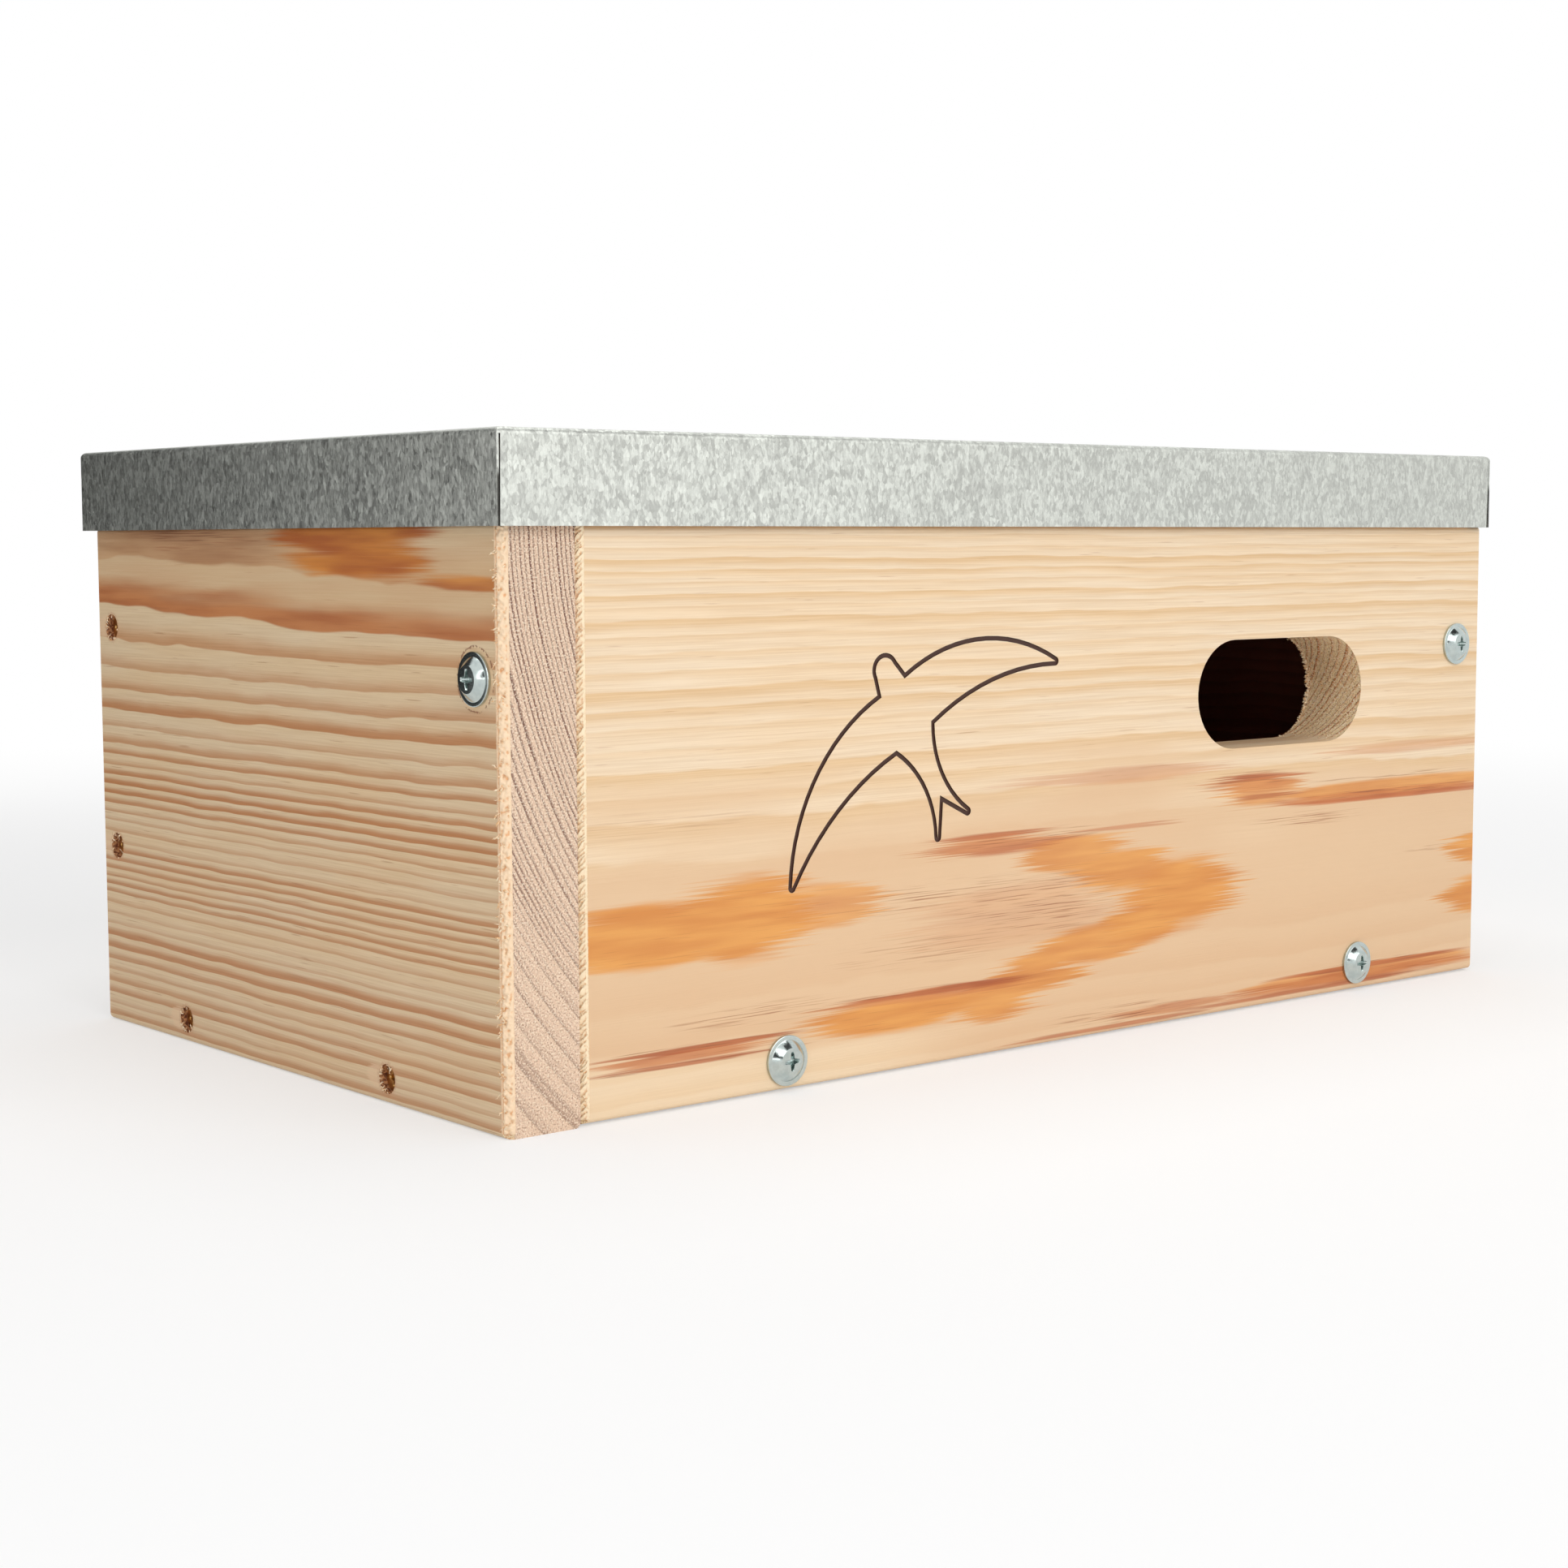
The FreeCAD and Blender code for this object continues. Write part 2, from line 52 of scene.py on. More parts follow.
def srgb(red, green, blue):
    """Linear colour of an sRGB triple given from 0 to 255."""
    shares = [channel / 255 for channel in (red, green, blue)]
    linear = [s / 12.92 if s <= 0.04045 else ((s + 0.055) / 1.055) ** 2.4 for s in shares]
    return (*linear, 1.0)


class Value:
    """One output socket of a node tree. Operators on it add Math nodes."""

    def __init__(self, tree, socket):
        self.tree = tree
        self.socket = socket

    def math(self, operation, *values):
        return self.tree.add("Math", {"operation": operation}, dict(enumerate(values)))["Value"]

    def __add__(self, other):
        return self.math("ADD", self, other)

    def __radd__(self, other):
        return self.math("ADD", other, self)

    def __sub__(self, other):
        return self.math("SUBTRACT", self, other)

    def __rsub__(self, other):
        return self.math("SUBTRACT", other, self)

    def __mul__(self, other):
        return self.math("MULTIPLY", self, other)

    def __rmul__(self, other):
        return self.math("MULTIPLY", other, self)

    def __truediv__(self, other):
        return self.math("DIVIDE", self, other)

    def __rtruediv__(self, other):
        return self.math("DIVIDE", other, self)

    def __pow__(self, other):
        return self.math("POWER", self, other)


class Node:
    """A node of a tree, whose outputs are read by name as values."""

    def __init__(self, tree, node):
        self.tree = tree
        self.node = node

    def __getitem__(self, name):
        found = [s for s in self.node.outputs if s.identifier == name or s.name == name]
        return Value(self.tree, found[0])


class Tree:
    """The node tree of a new material, with the few patterns that the finishes share."""

    def __init__(self, name):
        self.material = bpy.data.materials.new(name)
        self.material.use_nodes = True
        self.nodes = self.material.node_tree.nodes
        self.links = self.material.node_tree.links
        self.shader = self.nodes["Principled BSDF"]

    def add(self, kind, settings, sockets):
        """A node: first its settings, then a value or link for each socket, by name, identifier or number."""
        node = self.nodes.new(f"ShaderNode{kind}")
        for name, setting in settings.items():
            setattr(node, name, setting)
        for name, value in sockets.items():
            self.feed(node, name, value)
        return Node(self, node)

    def feed(self, node, name, value):
        """Sets a socket or links a value to it."""
        if isinstance(name, int):
            socket = node.inputs[name]
        else:
            socket = [s for s in node.inputs if s.identifier == name or s.name == name][0]
        if isinstance(value, Value):
            self.links.new(value.socket, socket)
        else:
            socket.default_value = value

    def place(self):
        """Object coordinates in millimetres, as three values."""
        spot = self.add("TexCoord", {}, {})["Object"]
        split = self.add("SeparateXYZ", {}, {"Vector": spot})
        return [split[axis] * (1 / MM) for axis in "XYZ"]

    def facing(self):
        """How far the surface faces along x and along y, from 0 to 1."""
        normal = self.add("NewGeometry", {}, {})["Normal"]
        split = self.add("SeparateXYZ", {}, {"Vector": normal})
        return [split[axis].math("ABSOLUTE", split[axis]) for axis in "XY"]

    def noise(self, x, y, z, detail=2.0, roughness=0.5):
        """Smooth noise about 0.5 at a point given in the noise's own steps."""
        spot = self.add("CombineXYZ", {}, {"X": x, "Y": y, "Z": z})["Vector"]
        sockets = {"Vector": spot, "Scale": 1.0, "Detail": detail, "Roughness": roughness}
        return self.add("TexNoise", {}, sockets)["Fac"]

    def step(self, value, low, high):
        """Smooth step from 0 at low to 1 at high; it falls where low is above high."""
        if low > high:
            return 1 - self.step(value, high, low)
        sockets = {"Value": value, "From Min": low, "From Max": high}
        return self.add("MapRange", {"interpolation_type": "SMOOTHSTEP"}, sockets)["Result"]

    def span(self, value, low, high, top):
        """Straight rise from 0 at low to top at high, level outside."""
        sockets = {"Value": value, "From Min": low, "From Max": high, "To Max": top}
        return self.add("MapRange", {"clamp": True}, sockets)["Result"]

    def mix(self, factor, first, second, blend="MIX"):
        """Colour between two others."""
        settings = {"data_type": "RGBA", "blend_type": blend}
        sockets = {"Factor_Float": factor, "A_Color": first, "B_Color": second}
        return self.add("Mix", settings, sockets)["Result_Color"]

    def bump(self, height, distance):
        """Normal of a surface whose height is given as a share of a distance in metres."""
        return self.add("Bump", {}, {"Height": height, "Distance": distance, "Strength": 1.0})["Normal"]

    def finish(self, **sockets):
        """Feeds the shader and gives the material."""
        for name, value in sockets.items():
            self.feed(self.shader, name.replace("_", " "), value)
        return self.material


class Pine:
    """Planed pine in the making: its colour and relief, to which marks are added before the finish.

    Rings are circles about a pith line that runs with the grain. radius = distance from the pith + slow sway
    + ripple, and growth, a list of (radius from, radius to, rings between), turns it into years. Each year
    darkens slowly to its latewood and ends sharply. Noise is read at the place in millimetres times a number
    of steps a millimetre: few along the grain, many across it.
    """

    SLOPE_LEVELS = (95, 130)
    SAWN_BLEND = 0.15
    TORN_FACING = (0.3, 0.5)
    SWAY = 3.0
    RIPPLE = 1.3
    YEAR_JITTER = 0.2
    DEEPER = (1.0, 0.955, 0.89, 1)
    RESIN_STREAK = srgb(176, 118, 74)
    RESIN_DASH = srgb(160, 88, 50)
    FIBRE_TONES = (srgb(243, 238, 232), srgb(255, 255, 255))
    CALM_WOOD = srgb(240, 214, 178)
    CALM_RING = srgb(206, 148, 104)
    # Painted shade for the faces inside the nest chamber, where little light gets in.
    INTERIOR_SHADE = (srgb(140, 78, 58), srgb(110, 60, 44))
    CUT_FIBRE = srgb(254, 236, 214)
    PORE = srgb(150, 104, 78)
    SHREDS = (srgb(226, 172, 122), srgb(250, 228, 190))

    def __init__(self, name, grain, pith, growth, early, late, seed, slope=0.0, wave=1.0, crisp=1.0, foot=1.0,
                 cut=0.75):
        self.tree = tree = Tree(name)
        self.seed = seed
        self.crisp = crisp
        self.x, self.y, self.z = x, y, z = tree.place()
        face_x, face_y = tree.facing()
        self.along, self.deep, ahead = (x, y, face_x) if grain == "X" else (y, x, face_y)
        along, deep = self.along, self.deep
        self.level = z + along * slope * tree.step(z, *self.SLOPE_LEVELS)
        self.end = tree.step(ahead, cut, cut + self.SAWN_BLEND)
        self.torn = tree.step(ahead, *self.TORN_FACING) * (1 - self.end)
        sway = tree.noise(along * 0.011 + seed, deep * 0.02, z * 0.02, 1.0) - 0.5
        ripple = tree.noise(along * 0.045 + seed, deep * 0.06, z * 0.06, 1.0) - 0.5
        off = ((deep - pith[0]) ** 2 + (self.level - pith[1]) ** 2) ** 0.5
        self.radius = off + (sway * self.SWAY + ripple * self.RIPPLE) * wave
        years = sum((tree.span(self.radius, low, high, rings) for low, high, rings in growth), 0.0)
        jitter = tree.noise(along * 0.07 + seed, deep * 0.3, z * 0.3, 1.0) - 0.5
        self.years = years + jitter * self.YEAR_JITTER
        self.dark, self.vigour = self.bands(self.years)
        self.fibre = tree.noise(along * 0.03, deep * 2.6 + seed, z * 2.6, 3.0, 0.6)
        flow = tree.noise(along * 0.012 + seed, deep * 0.1, z * 0.1, 2.0)
        deeper = [channel * share for channel, share in zip(early, self.DEEPER)]
        body = tree.mix(tree.step(flow, 0.3, 0.7), early, deeper)
        body = tree.mix(self.dark * (0.5 + self.vigour * 0.5) * self.fade(foot, 90), body, late)
        streak = tree.noise(along * 0.07 + 5, deep * 2.2, z * 2.2, 1.0)
        body = tree.mix(tree.step(streak, 0.68, 0.8) * 0.45, body, self.RESIN_STREAK)
        fibres = tree.mix(tree.step(self.fibre, 0.3, 0.7), *self.FIBRE_TONES)
        self.body = tree.mix(1.0, body, fibres, "MULTIPLY")
        self.relief = self.fibre * 0.5 + self.dark * 0.1

    def fade(self, foot, top):
        """A share that rises from foot at the underside to 1 at a level."""
        return foot + (1 - foot) * self.tree.step(self.z, 0, top)

    def bands(self, years):
        """Share of latewood and the strength of the ring, for a count of years.

        The share rises over the year and drops over its last part, both more steeply in crisp wood.
        """
        tree = self.tree
        part = years.math("FRACT", years)
        year = years.math("FLOOR", years)
        vigour = tree.add("TexWhiteNoise", {"noise_dimensions": "1D"}, {"W": year + self.seed})["Value"]
        lean = part + (vigour - 0.5) * 0.3
        steep = 0.6 * self.crisp
        rise = tree.step(lean, 0.1, 1.0) * (1 - steep) + tree.step(lean, 0.3, 0.85) * steep
        return rise * tree.step(part, 1.0, 0.82 + 0.12 * self.crisp), vigour

    def patches(self, spots, shift, fray, core=0.66):
        """Union of soft ellipses: middle along, level, half length, half height, strength.

        shift moves them along the grain and fray swells them, each by its own value at each place.
        """
        total = None
        for middle, level, half_length, half_height, amount in spots:
            reach = ((self.along + shift - middle) / half_length) ** 2
            reach = reach + ((self.level - level) / half_height) ** 2
            soft = self.tree.step(reach + fray, 1.2, core) * amount
            total = soft if total is None else total.math("MAXIMUM", total, soft)
        return total

    def dashes(self, spots, colour):
        """Thin dark resin lines along the grain, within soft ellipses."""
        tree = self.tree
        line = tree.noise(self.along * 0.04 + self.seed, self.deep * 0.1, self.z * 2.6 + 9, 2.0, 0.6)
        within = self.patches(spots, line * 40 - 20, line * 0.5, core=0.3)
        self.body = tree.mix(tree.step(line, 0.50, 0.68) * within, self.body, colour)

    def stain(self, spots, light, deep, strength, limit=None, core=0.66, comb=70, dash=0.4):
        """Resin in soft ellipses, whose ends are combed out along the grain, with small dark dashes.

        comb is how far the teeth reach, in millimetres. Where a limit is given, the resin stops at the ring
        of that radius.
        """
        tree, along, z, seed = self.tree, self.along, self.z, self.seed
        fray = tree.noise(along * 0.018 + seed, self.deep * 0.1, z * 0.20, 2.0) - 0.5
        teeth = tree.noise(along * 0.012 + seed, self.deep * 0.1, z * 1.6, 3.0, 0.8) - 0.5
        total = self.patches(spots, teeth * comb, fray * 1.5, core)
        if limit:
            total = total * tree.step(self.radius, limit + 0.06, limit - 0.06)
        tone = tree.noise(along * 0.025, self.deep * 0.1, z * 0.25 + seed, 2.0)
        resin = tree.mix(tree.step(tone, 0.3, 0.7), light, deep)
        self.body = tree.mix(total * strength, self.body, resin)
        line = tree.noise(along * 0.06 + seed, self.deep, z * 2.6, 1.0)
        self.body = tree.mix(tree.step(line, 0.6, 0.74) * total * dash, self.body, self.RESIN_DASH)

    def blush(self, top, colour):
        """Calmer wood with a warmer heart below a level, but for the foot of the board."""
        tree = self.tree
        drift = tree.noise(self.along * 0.012 + self.seed, self.deep * 0.1, self.z * 0.06, 1.0) - 0.5
        calm = tree.step(self.z + drift * 60, top + 14, top - 14)
        self.body = tree.mix(calm * 0.75, self.body, self.CALM_WOOD)
        pale_foot = tree.step(self.z + drift * 20, 14, 4) * tree.step(self.along, -20, -80)
        warm = calm * (1 - pale_foot)
        heart = tree.mix(self.dark * 0.15, colour, self.CALM_RING)
        self.body = tree.mix(warm * 0.75, self.body, heart)

    def chamber(self):
        """Painted shade: darker wood on the faces round the nest, which ends 0.2 to 0.4 mm outside the
        chamber.
        """
        tree = self.tree
        half, front, back, floor, top = CHAMBER
        inside = tree.step(self.x.math("ABSOLUTE", self.x), half + 0.4, half + 0.2)
        sides = ((self.y, front, -1), (self.y, back, 1), (self.z, floor, -1), (self.z, top, 1))
        for place, edge, way in sides:
            inside = inside * tree.step(place, edge + way * 0.4, edge + way * 0.2)
        self.body = tree.mix(inside, self.body, tree.mix(self.dark * 0.5, *self.INTERIOR_SHADE))

    def cut_end(self, light, line, finer=1, foot=1.0, coarse=None, rough=1):
        """End grain with its rings, pores and pale cut fibres, and the torn fibres of a sawn arris.

        The rings count as finer bands, and fade to a share of their strength at the foot. Between the two
        coarse levels they turn to bands of three.
        """
        tree = self.tree
        dark, vigour = self.bands(self.years * finer)
        if coarse:
            broad = self.bands(self.years / 3)[0]
            share = tree.step(self.z, coarse[1], coarse[0])
            dark = dark * (1 - share * 0.75) + broad * share * 0.75
        dark = dark ** 2.1
        crumb = tree.noise(self.x * 1.9, self.y * 1.9, self.z * 1.9, 3.0, 0.75)
        fleck = tree.noise(self.x * 2.4 + 7, self.y * 2.4, self.z * 2.4, 1.0)
        blur = tree.noise(self.x * 0.12, self.y * 0.12, self.z * 0.12, 1.0)
        ring = dark * (0.6 + vigour * 0.35 + blur * 0.3) * self.fade(foot, 125)
        cut = tree.mix(ring + (crumb - 0.5) * 1.1, light, line)
        cut = tree.mix(tree.step(fleck, 0.53, 0.64) * 0.8, cut, self.CUT_FIBRE)
        cut = tree.mix(tree.step(fleck, 0.43, 0.32) * 0.6, cut, self.PORE)
        shred = tree.mix(tree.step(crumb, 0.4, 0.6), *self.SHREDS)
        self.body = tree.mix(self.end, self.body, cut)
        self.body = tree.mix(self.torn, self.body, shred)
        cut_relief = (self.end * 2.0 + self.torn * 4.0) * crumb + self.end * (dark * 1.5 + fleck * 2.0)
        self.relief = self.relief + cut_relief * rough

    def from_spot(self, spot):
        """Distance in millimetres from a point (y, z) of an upright face."""
        return ((self.y - spot[0]) ** 2 + (self.z - spot[1]) ** 2) ** 0.5

    def cracks(self, spot, radius):
        """Pale crushed wood and a ring of short cracks round the head of a screw at (y, z)."""
        tree = self.tree
        crumb = tree.noise(self.y * 0.9, self.z * 0.9, self.x * 0.9, 2.0, 0.6)
        away = self.from_spot(spot) + crumb * 1.6
        pale = tree.step(away, radius + 2.2, radius + 1.2)
        self.body = tree.mix(pale * 0.5, self.body, srgb(240, 204, 160))
        crack = tree.step(away, radius + 1.8, radius + 2.0) * tree.step(away, radius + 2.45, radius + 2.2)
        self.body = tree.mix(crack * tree.step(crumb, 0.47, 0.55) * 0.8, self.body, srgb(140, 80, 50))

    def recess(self, edge, spots):
        """Crushed and torn wood in and round the holes of sunk screws, in faces at x = edge and x = -edge.

        The fibres are torn in an ellipse behind each hole, which has a radius of 3.7 mm.
        """
        tree = self.tree
        crumb = tree.noise(self.x * 1.4, self.y * 1.4, self.z * 1.4, 2.0, 0.6)
        sunk = tree.step(self.x.math("ABSOLUTE", self.x), edge - 0.02, edge - 0.12)
        crushed = tree.mix(tree.step(crumb, 0.35, 0.65), srgb(118, 64, 40), srgb(226, 170, 122))
        for hole_y, hole_z in spots:
            away = self.from_spot((hole_y, hole_z))
            torn = ((self.y - hole_y - 4) / 5.5) ** 2 + ((self.z - hole_z) / 3.2) ** 2
            torn = tree.step(torn + (self.fibre - 0.5) * 3.5, 1.1, 0.5)
            self.body = tree.mix(torn * (1 - self.end) * 0.7, self.body, srgb(242, 208, 170))
            bruise = tree.step(away + crumb * 2.4, 5.9, 4.6)
            self.body = tree.mix(bruise * 0.4, self.body, srgb(196, 136, 94))
            self.body = tree.mix(tree.step(away, 3.8, 3.7) * sunk, self.body, crushed)

    def finish(self, depth):
        """The material, its relief given as a depth in metres."""
        rough = 0.62 - self.fibre * 0.12 + self.end * 0.2
        normal = self.tree.bump(self.relief, depth)
        return self.tree.finish(Base_Color=self.body, Roughness=rough, Normal=normal)


def dress(node, material):
    """Gives a CAD node one material."""
    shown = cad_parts[node]
    shown.data.materials.clear()
    shown.data.materials.append(material)
    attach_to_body(shown, "root")


def centre(node):
    """Middle of a CAD node's box, in millimetres."""
    low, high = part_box(node)
    return (low + high) / 2 / MM


side_low, side_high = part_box("left_side")
BOX_HALF = -side_low.x / MM
SIDE_SCREWS = [centre(f"left_{word}_screw_{n}") for word in ("wall", "floor") for n in (1, 2)]
SIDE_HOLES = [(spot.y, spot.z) for spot in SIDE_SCREWS]
chamber_low, chamber_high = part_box("floor_panel")
CHAMBER = [edge / MM for edge in (chamber_high.x, chamber_low.y, chamber_high.y, chamber_high.z, side_high.z)]
GRAIN_RELIEF = 0.00012
END_LIGHT = srgb(237, 206, 179)
END_LINE = srgb(108, 64, 50)
HEART_RING, RED_RING = 161.7, 163.7
LEFT_GROWTH = [(20, HEART_RING, 116), (HEART_RING, RED_RING, 1), (RED_RING, 173.9, 6), (173.9, 183.4, 8),
               (183.4, 186.5, 2), (186.5, 194, 6), (194, 199.2, 3), (199.2, 260, 30)]
CREAM_BAND = [(0, 126, 600, 14, 1.0)]
RED_BAND = [(0, 111, 600, 9, 1.0)]
BROWN_CORNER = [(60, 137, 84, 14, 1.0)]
BROWN_DASHES = [(60, 134, 70, 5, 0.8)]
RESIN_POCKETS = [(-36, 138, 38, 14, 1.0), (-96, 125, 34, 5, 0.9)]
left_pine = Pine("left_side_pine", "Y", (-18, 145), LEFT_GROWTH, srgb(238, 214, 178), srgb(194, 124, 66), 3.1,
                 slope=-0.05, wave=0.4, foot=0.8)
left_pine.stain(CREAM_BAND, srgb(222, 186, 142), srgb(216, 172, 126), 0.6, limit=RED_RING, core=0.2,
                comb=0, dash=0)
left_pine.stain(RED_BAND, srgb(204, 132, 78), srgb(180, 104, 56), 0.95, limit=RED_RING, core=0.1,
                comb=0, dash=0.2)
left_pine.stain(BROWN_CORNER, srgb(190, 138, 96), srgb(156, 100, 62), 0.7, limit=HEART_RING, core=0.2,
                comb=40)
left_pine.dashes(BROWN_DASHES, srgb(120, 70, 40))
left_pine.stain(RESIN_POCKETS, srgb(220, 140, 58), srgb(178, 92, 36), 0.98, limit=HEART_RING, core=0.5,
                comb=30, dash=0.15)
left_pine.cut_end(END_LIGHT, END_LINE, foot=0.45, coarse=(28, 55))
left_pine.recess(BOX_HALF, SIDE_HOLES)
LEFT_WAFER = centre("panel_screw_left")
WAFER_RADIUS = 6.2
left_pine.cracks((LEFT_WAFER.y, LEFT_WAFER.z), WAFER_RADIUS)
left_pine.chamber()
dress("left_side", left_pine.finish(GRAIN_RELIEF))

# Right side, back, floor and roof boards: the same planed pine, from other planks.
# The back and the floor stand inside the others, and the roof board lies under the metal cap.
# The roof board's ends are darkened as painted shade, so that they show dark through the cap's open seams.
EVEN_GROWTH = [(0, 260, 120)]
EARLY = srgb(242, 219, 180)
LATE = srgb(208, 152, 102)
OTHER_BOARDS = (
    ("right_side", "Y", (60, 20), 11.7),
    ("back_panel", "X", (30, 95), 23.9),
    ("floor_panel", "X", (-30, 60), 31.3),
    ("roof_board", "X", (20, 90), 43.1),
)
for node, grain, pith, seed in OTHER_BOARDS:
    plank = Pine(f"{node}_pine", grain, pith, EVEN_GROWTH, EARLY, LATE, seed)
    plank.cut_end(END_LIGHT, END_LINE)
    if node == "right_side":
        plank.recess(BOX_HALF, SIDE_HOLES)
    plank.chamber()
    if node == "roof_board":
        # Painted shade on the roof board's ends, next to the cap's open front seams.
        roof_seam_shade = plank.tree.step(plank.x.math("ABSOLUTE", plank.x), 172, 175)
        plank.body = plank.tree.mix(roof_seam_shade * 0.9, plank.body, srgb(50, 38, 30))
    dress(node, plank.finish(GRAIN_RELIEF))

# Front panel: a flat sawn board with the grain from left to right, held by four wafer head screws.
# Its upper half shows fine even rings; the lower half runs along one ring, in broad resin stained patches.
# The outline of a swift is burnt into it, and the entrance slot is cut through near the right end.
panel_low, panel_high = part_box("front_panel")
PANEL_FACE = panel_low.y / MM
PANEL_END = panel_low.x / MM
FRONT_GROWTH = [(0, 57.9, 14), (57.9, 61.3, 1), (61.3, 76.4, 5), (76.4, 91.4, 5), (91.4, 110, 8),
                (110, 260, 80)]
FRONT_STAINS = [
    (-140, 41.8, 34, 8.4, 1.0),
    (-110, 43, 24, 10.8, 1.0),
    (-84, 44, 20, 6.0, 0.8),
    (4, 50.5, 22, 4.8, 0.9),
    (22, 44.5, 20, 6.5, 0.95),
    (45, 36, 23, 11.6, 1.0),
    (30, 29, 18, 6.0, 1.0),
    (10, 25.5, 22, 5.0, 0.95),
    (-12, 19.5, 16, 5.4, 0.95),
    (-28, 14, 16, 5.6, 0.95),
    (-62, 14.5, 32, 4.6, 1.0),
    (182, 38.5, 16, 5.0, 1.0),
    (182, 24.5, 20, 6.0, 1.0),
    (78, 62, 18, 4.6, 0.8),
    (140, 60, 60, 2.6, 0.9),
    (126, 5.6, 56, 2.4, 0.8),
]
FRONT_STREAKS = [
    (-28, 54.8, 26, 3.2, 0.95),
    (-128, 12.6, 32, 1.4, 0.95),
    (-48, 18.6, 34, 1.8, 0.9),
    (-20, 36, 40, 9, 0.3),
    (20, 70, 46, 2.4, 0.5),
    (74, 64.5, 19, 3.4, 0.8),
    (130, 58.0, 60, 1.6, 1.0),
    (150, 71.5, 40, 2.0, 0.45),
    (124, 4.4, 60, 2.0, 1.0),
    (40, 4.5, 26, 1.6, 0.7),
]
FRONT_SEAMS = [
    (-30, 57.3, 26, 0.9, 0.9),
    (26, 56, 20, 0.8, 0.6),
    (-44, 19.2, 36, 1.0, 0.9),
    (-124, 14.2, 32, 0.8, 1.0),
    (-124, 10.9, 32, 0.7, 0.9),
    (136, 57.0, 56, 0.9, 1.0),
    (80, 66.2, 20, 1.0, 0.8),
    (78, 60.6, 18, 0.9, 0.7),
    (130, 7.2, 50, 0.8, 1.0),
    (104, 2.8, 60, 0.8, 0.9),
    (16, 2.0, 40, 0.7, 0.8),
]
FRONT_DASHES = [
    (-100, 20, 36, 3.5, 0.8),
    (-40, 43, 40, 6, 0.7),
    (-6, 38, 40, 12, 0.75),
    (-46, 30, 40, 6, 0.45),
    (-8, 56, 36, 3, 0.8),
    (76, 66, 34, 3, 0.9),
    (136, 58.6, 50, 1.6, 1.0),
    (140, 63, 50, 1.2, 0.7),
    (104, 53, 30, 3, 0.8),
    (30, 5, 40, 3.5, 0.9),
    (134, 7.4, 46, 1.6, 1.0),
    (134, 3, 46, 1.2, 0.8),
    (-124, 14.6, 34, 1.0, 1.0),
    (-124, 10.8, 34, 1.0, 1.0),
    (-54, 19.5, 36, 1.4, 0.8),
    (-130, 68, 40, 4, 0.3),
    (160, 40, 18, 1.5, 0.8),
]
BLUSH_TOP = 64
front_pine = Pine("front_panel_pine", "X", (-155, 42), FRONT_GROWTH, srgb(244, 223, 194), srgb(233, 199, 154),
                  17.4, wave=0.8, crisp=0.4, cut=0.25)
front_pine.blush(BLUSH_TOP, srgb(226, 189, 149))
front_pine.stain(FRONT_STAINS, srgb(231, 161, 80), srgb(214, 136, 60), 0.95, comb=55, core=0.5, dash=0.25)
front_pine.stain(FRONT_STREAKS, srgb(214, 138, 78), srgb(186, 98, 46), 0.85, core=0.3, comb=90, dash=0.5)
front_pine.stain(FRONT_SEAMS, srgb(196, 112, 62), srgb(166, 80, 38), 0.9, core=0.3, comb=60, dash=0.4)
front_pine.dashes(FRONT_DASHES, srgb(158, 92, 54))
front_pine.cut_end(srgb(255, 229, 180), srgb(212, 142, 86), finer=1.6, rough=1.5)
front_pine.chamber()
step, mix = front_pine.tree.step, front_pine.tree.mix
# Painted shade on the panel's left end and its edge, in the narrow gap beside the left side board.
gap_shade = step(front_pine.x, PANEL_END + 0.9, PANEL_END + 0.4)
front_pine.body = mix(gap_shade, front_pine.body, srgb(104, 62, 40))
BURNT_BOX = ((-150, 14), (10, 128))
burnt = step(front_pine.y, PANEL_FACE + 0.02, PANEL_FACE + 0.1)
burnt = burnt * step(front_pine.y, PANEL_FACE + 0.7, PANEL_FACE + 0.5)
for place, (low, high) in zip((front_pine.x, front_pine.z), BURNT_BOX):
    burnt = burnt * step(place, low - 1, low) * step(place, high + 1, high)
front_pine.body = mix(burnt, front_pine.body, srgb(66, 34, 20))
dress("front_panel", front_pine.finish(GRAIN_RELIEF))

# Torn fibres on the two sawn end arrises at the near corner. The saw left the fibres as a ragged crust of
# slanting ribs on the chamfer, with short curled splinters that bend over on to the faces beside it.

def linked(name, points, faces):
    """Smooth mesh object from points in millimetres."""
    mesh = bpy.data.meshes.new(name)
    mesh.from_pydata((np.asarray(points) * MM).tolist(), [], faces)
    mesh.shade_smooth()
    made = bpy.data.objects.new(name, mesh)
    bpy.context.scene.collection.objects.link(made)
    return made


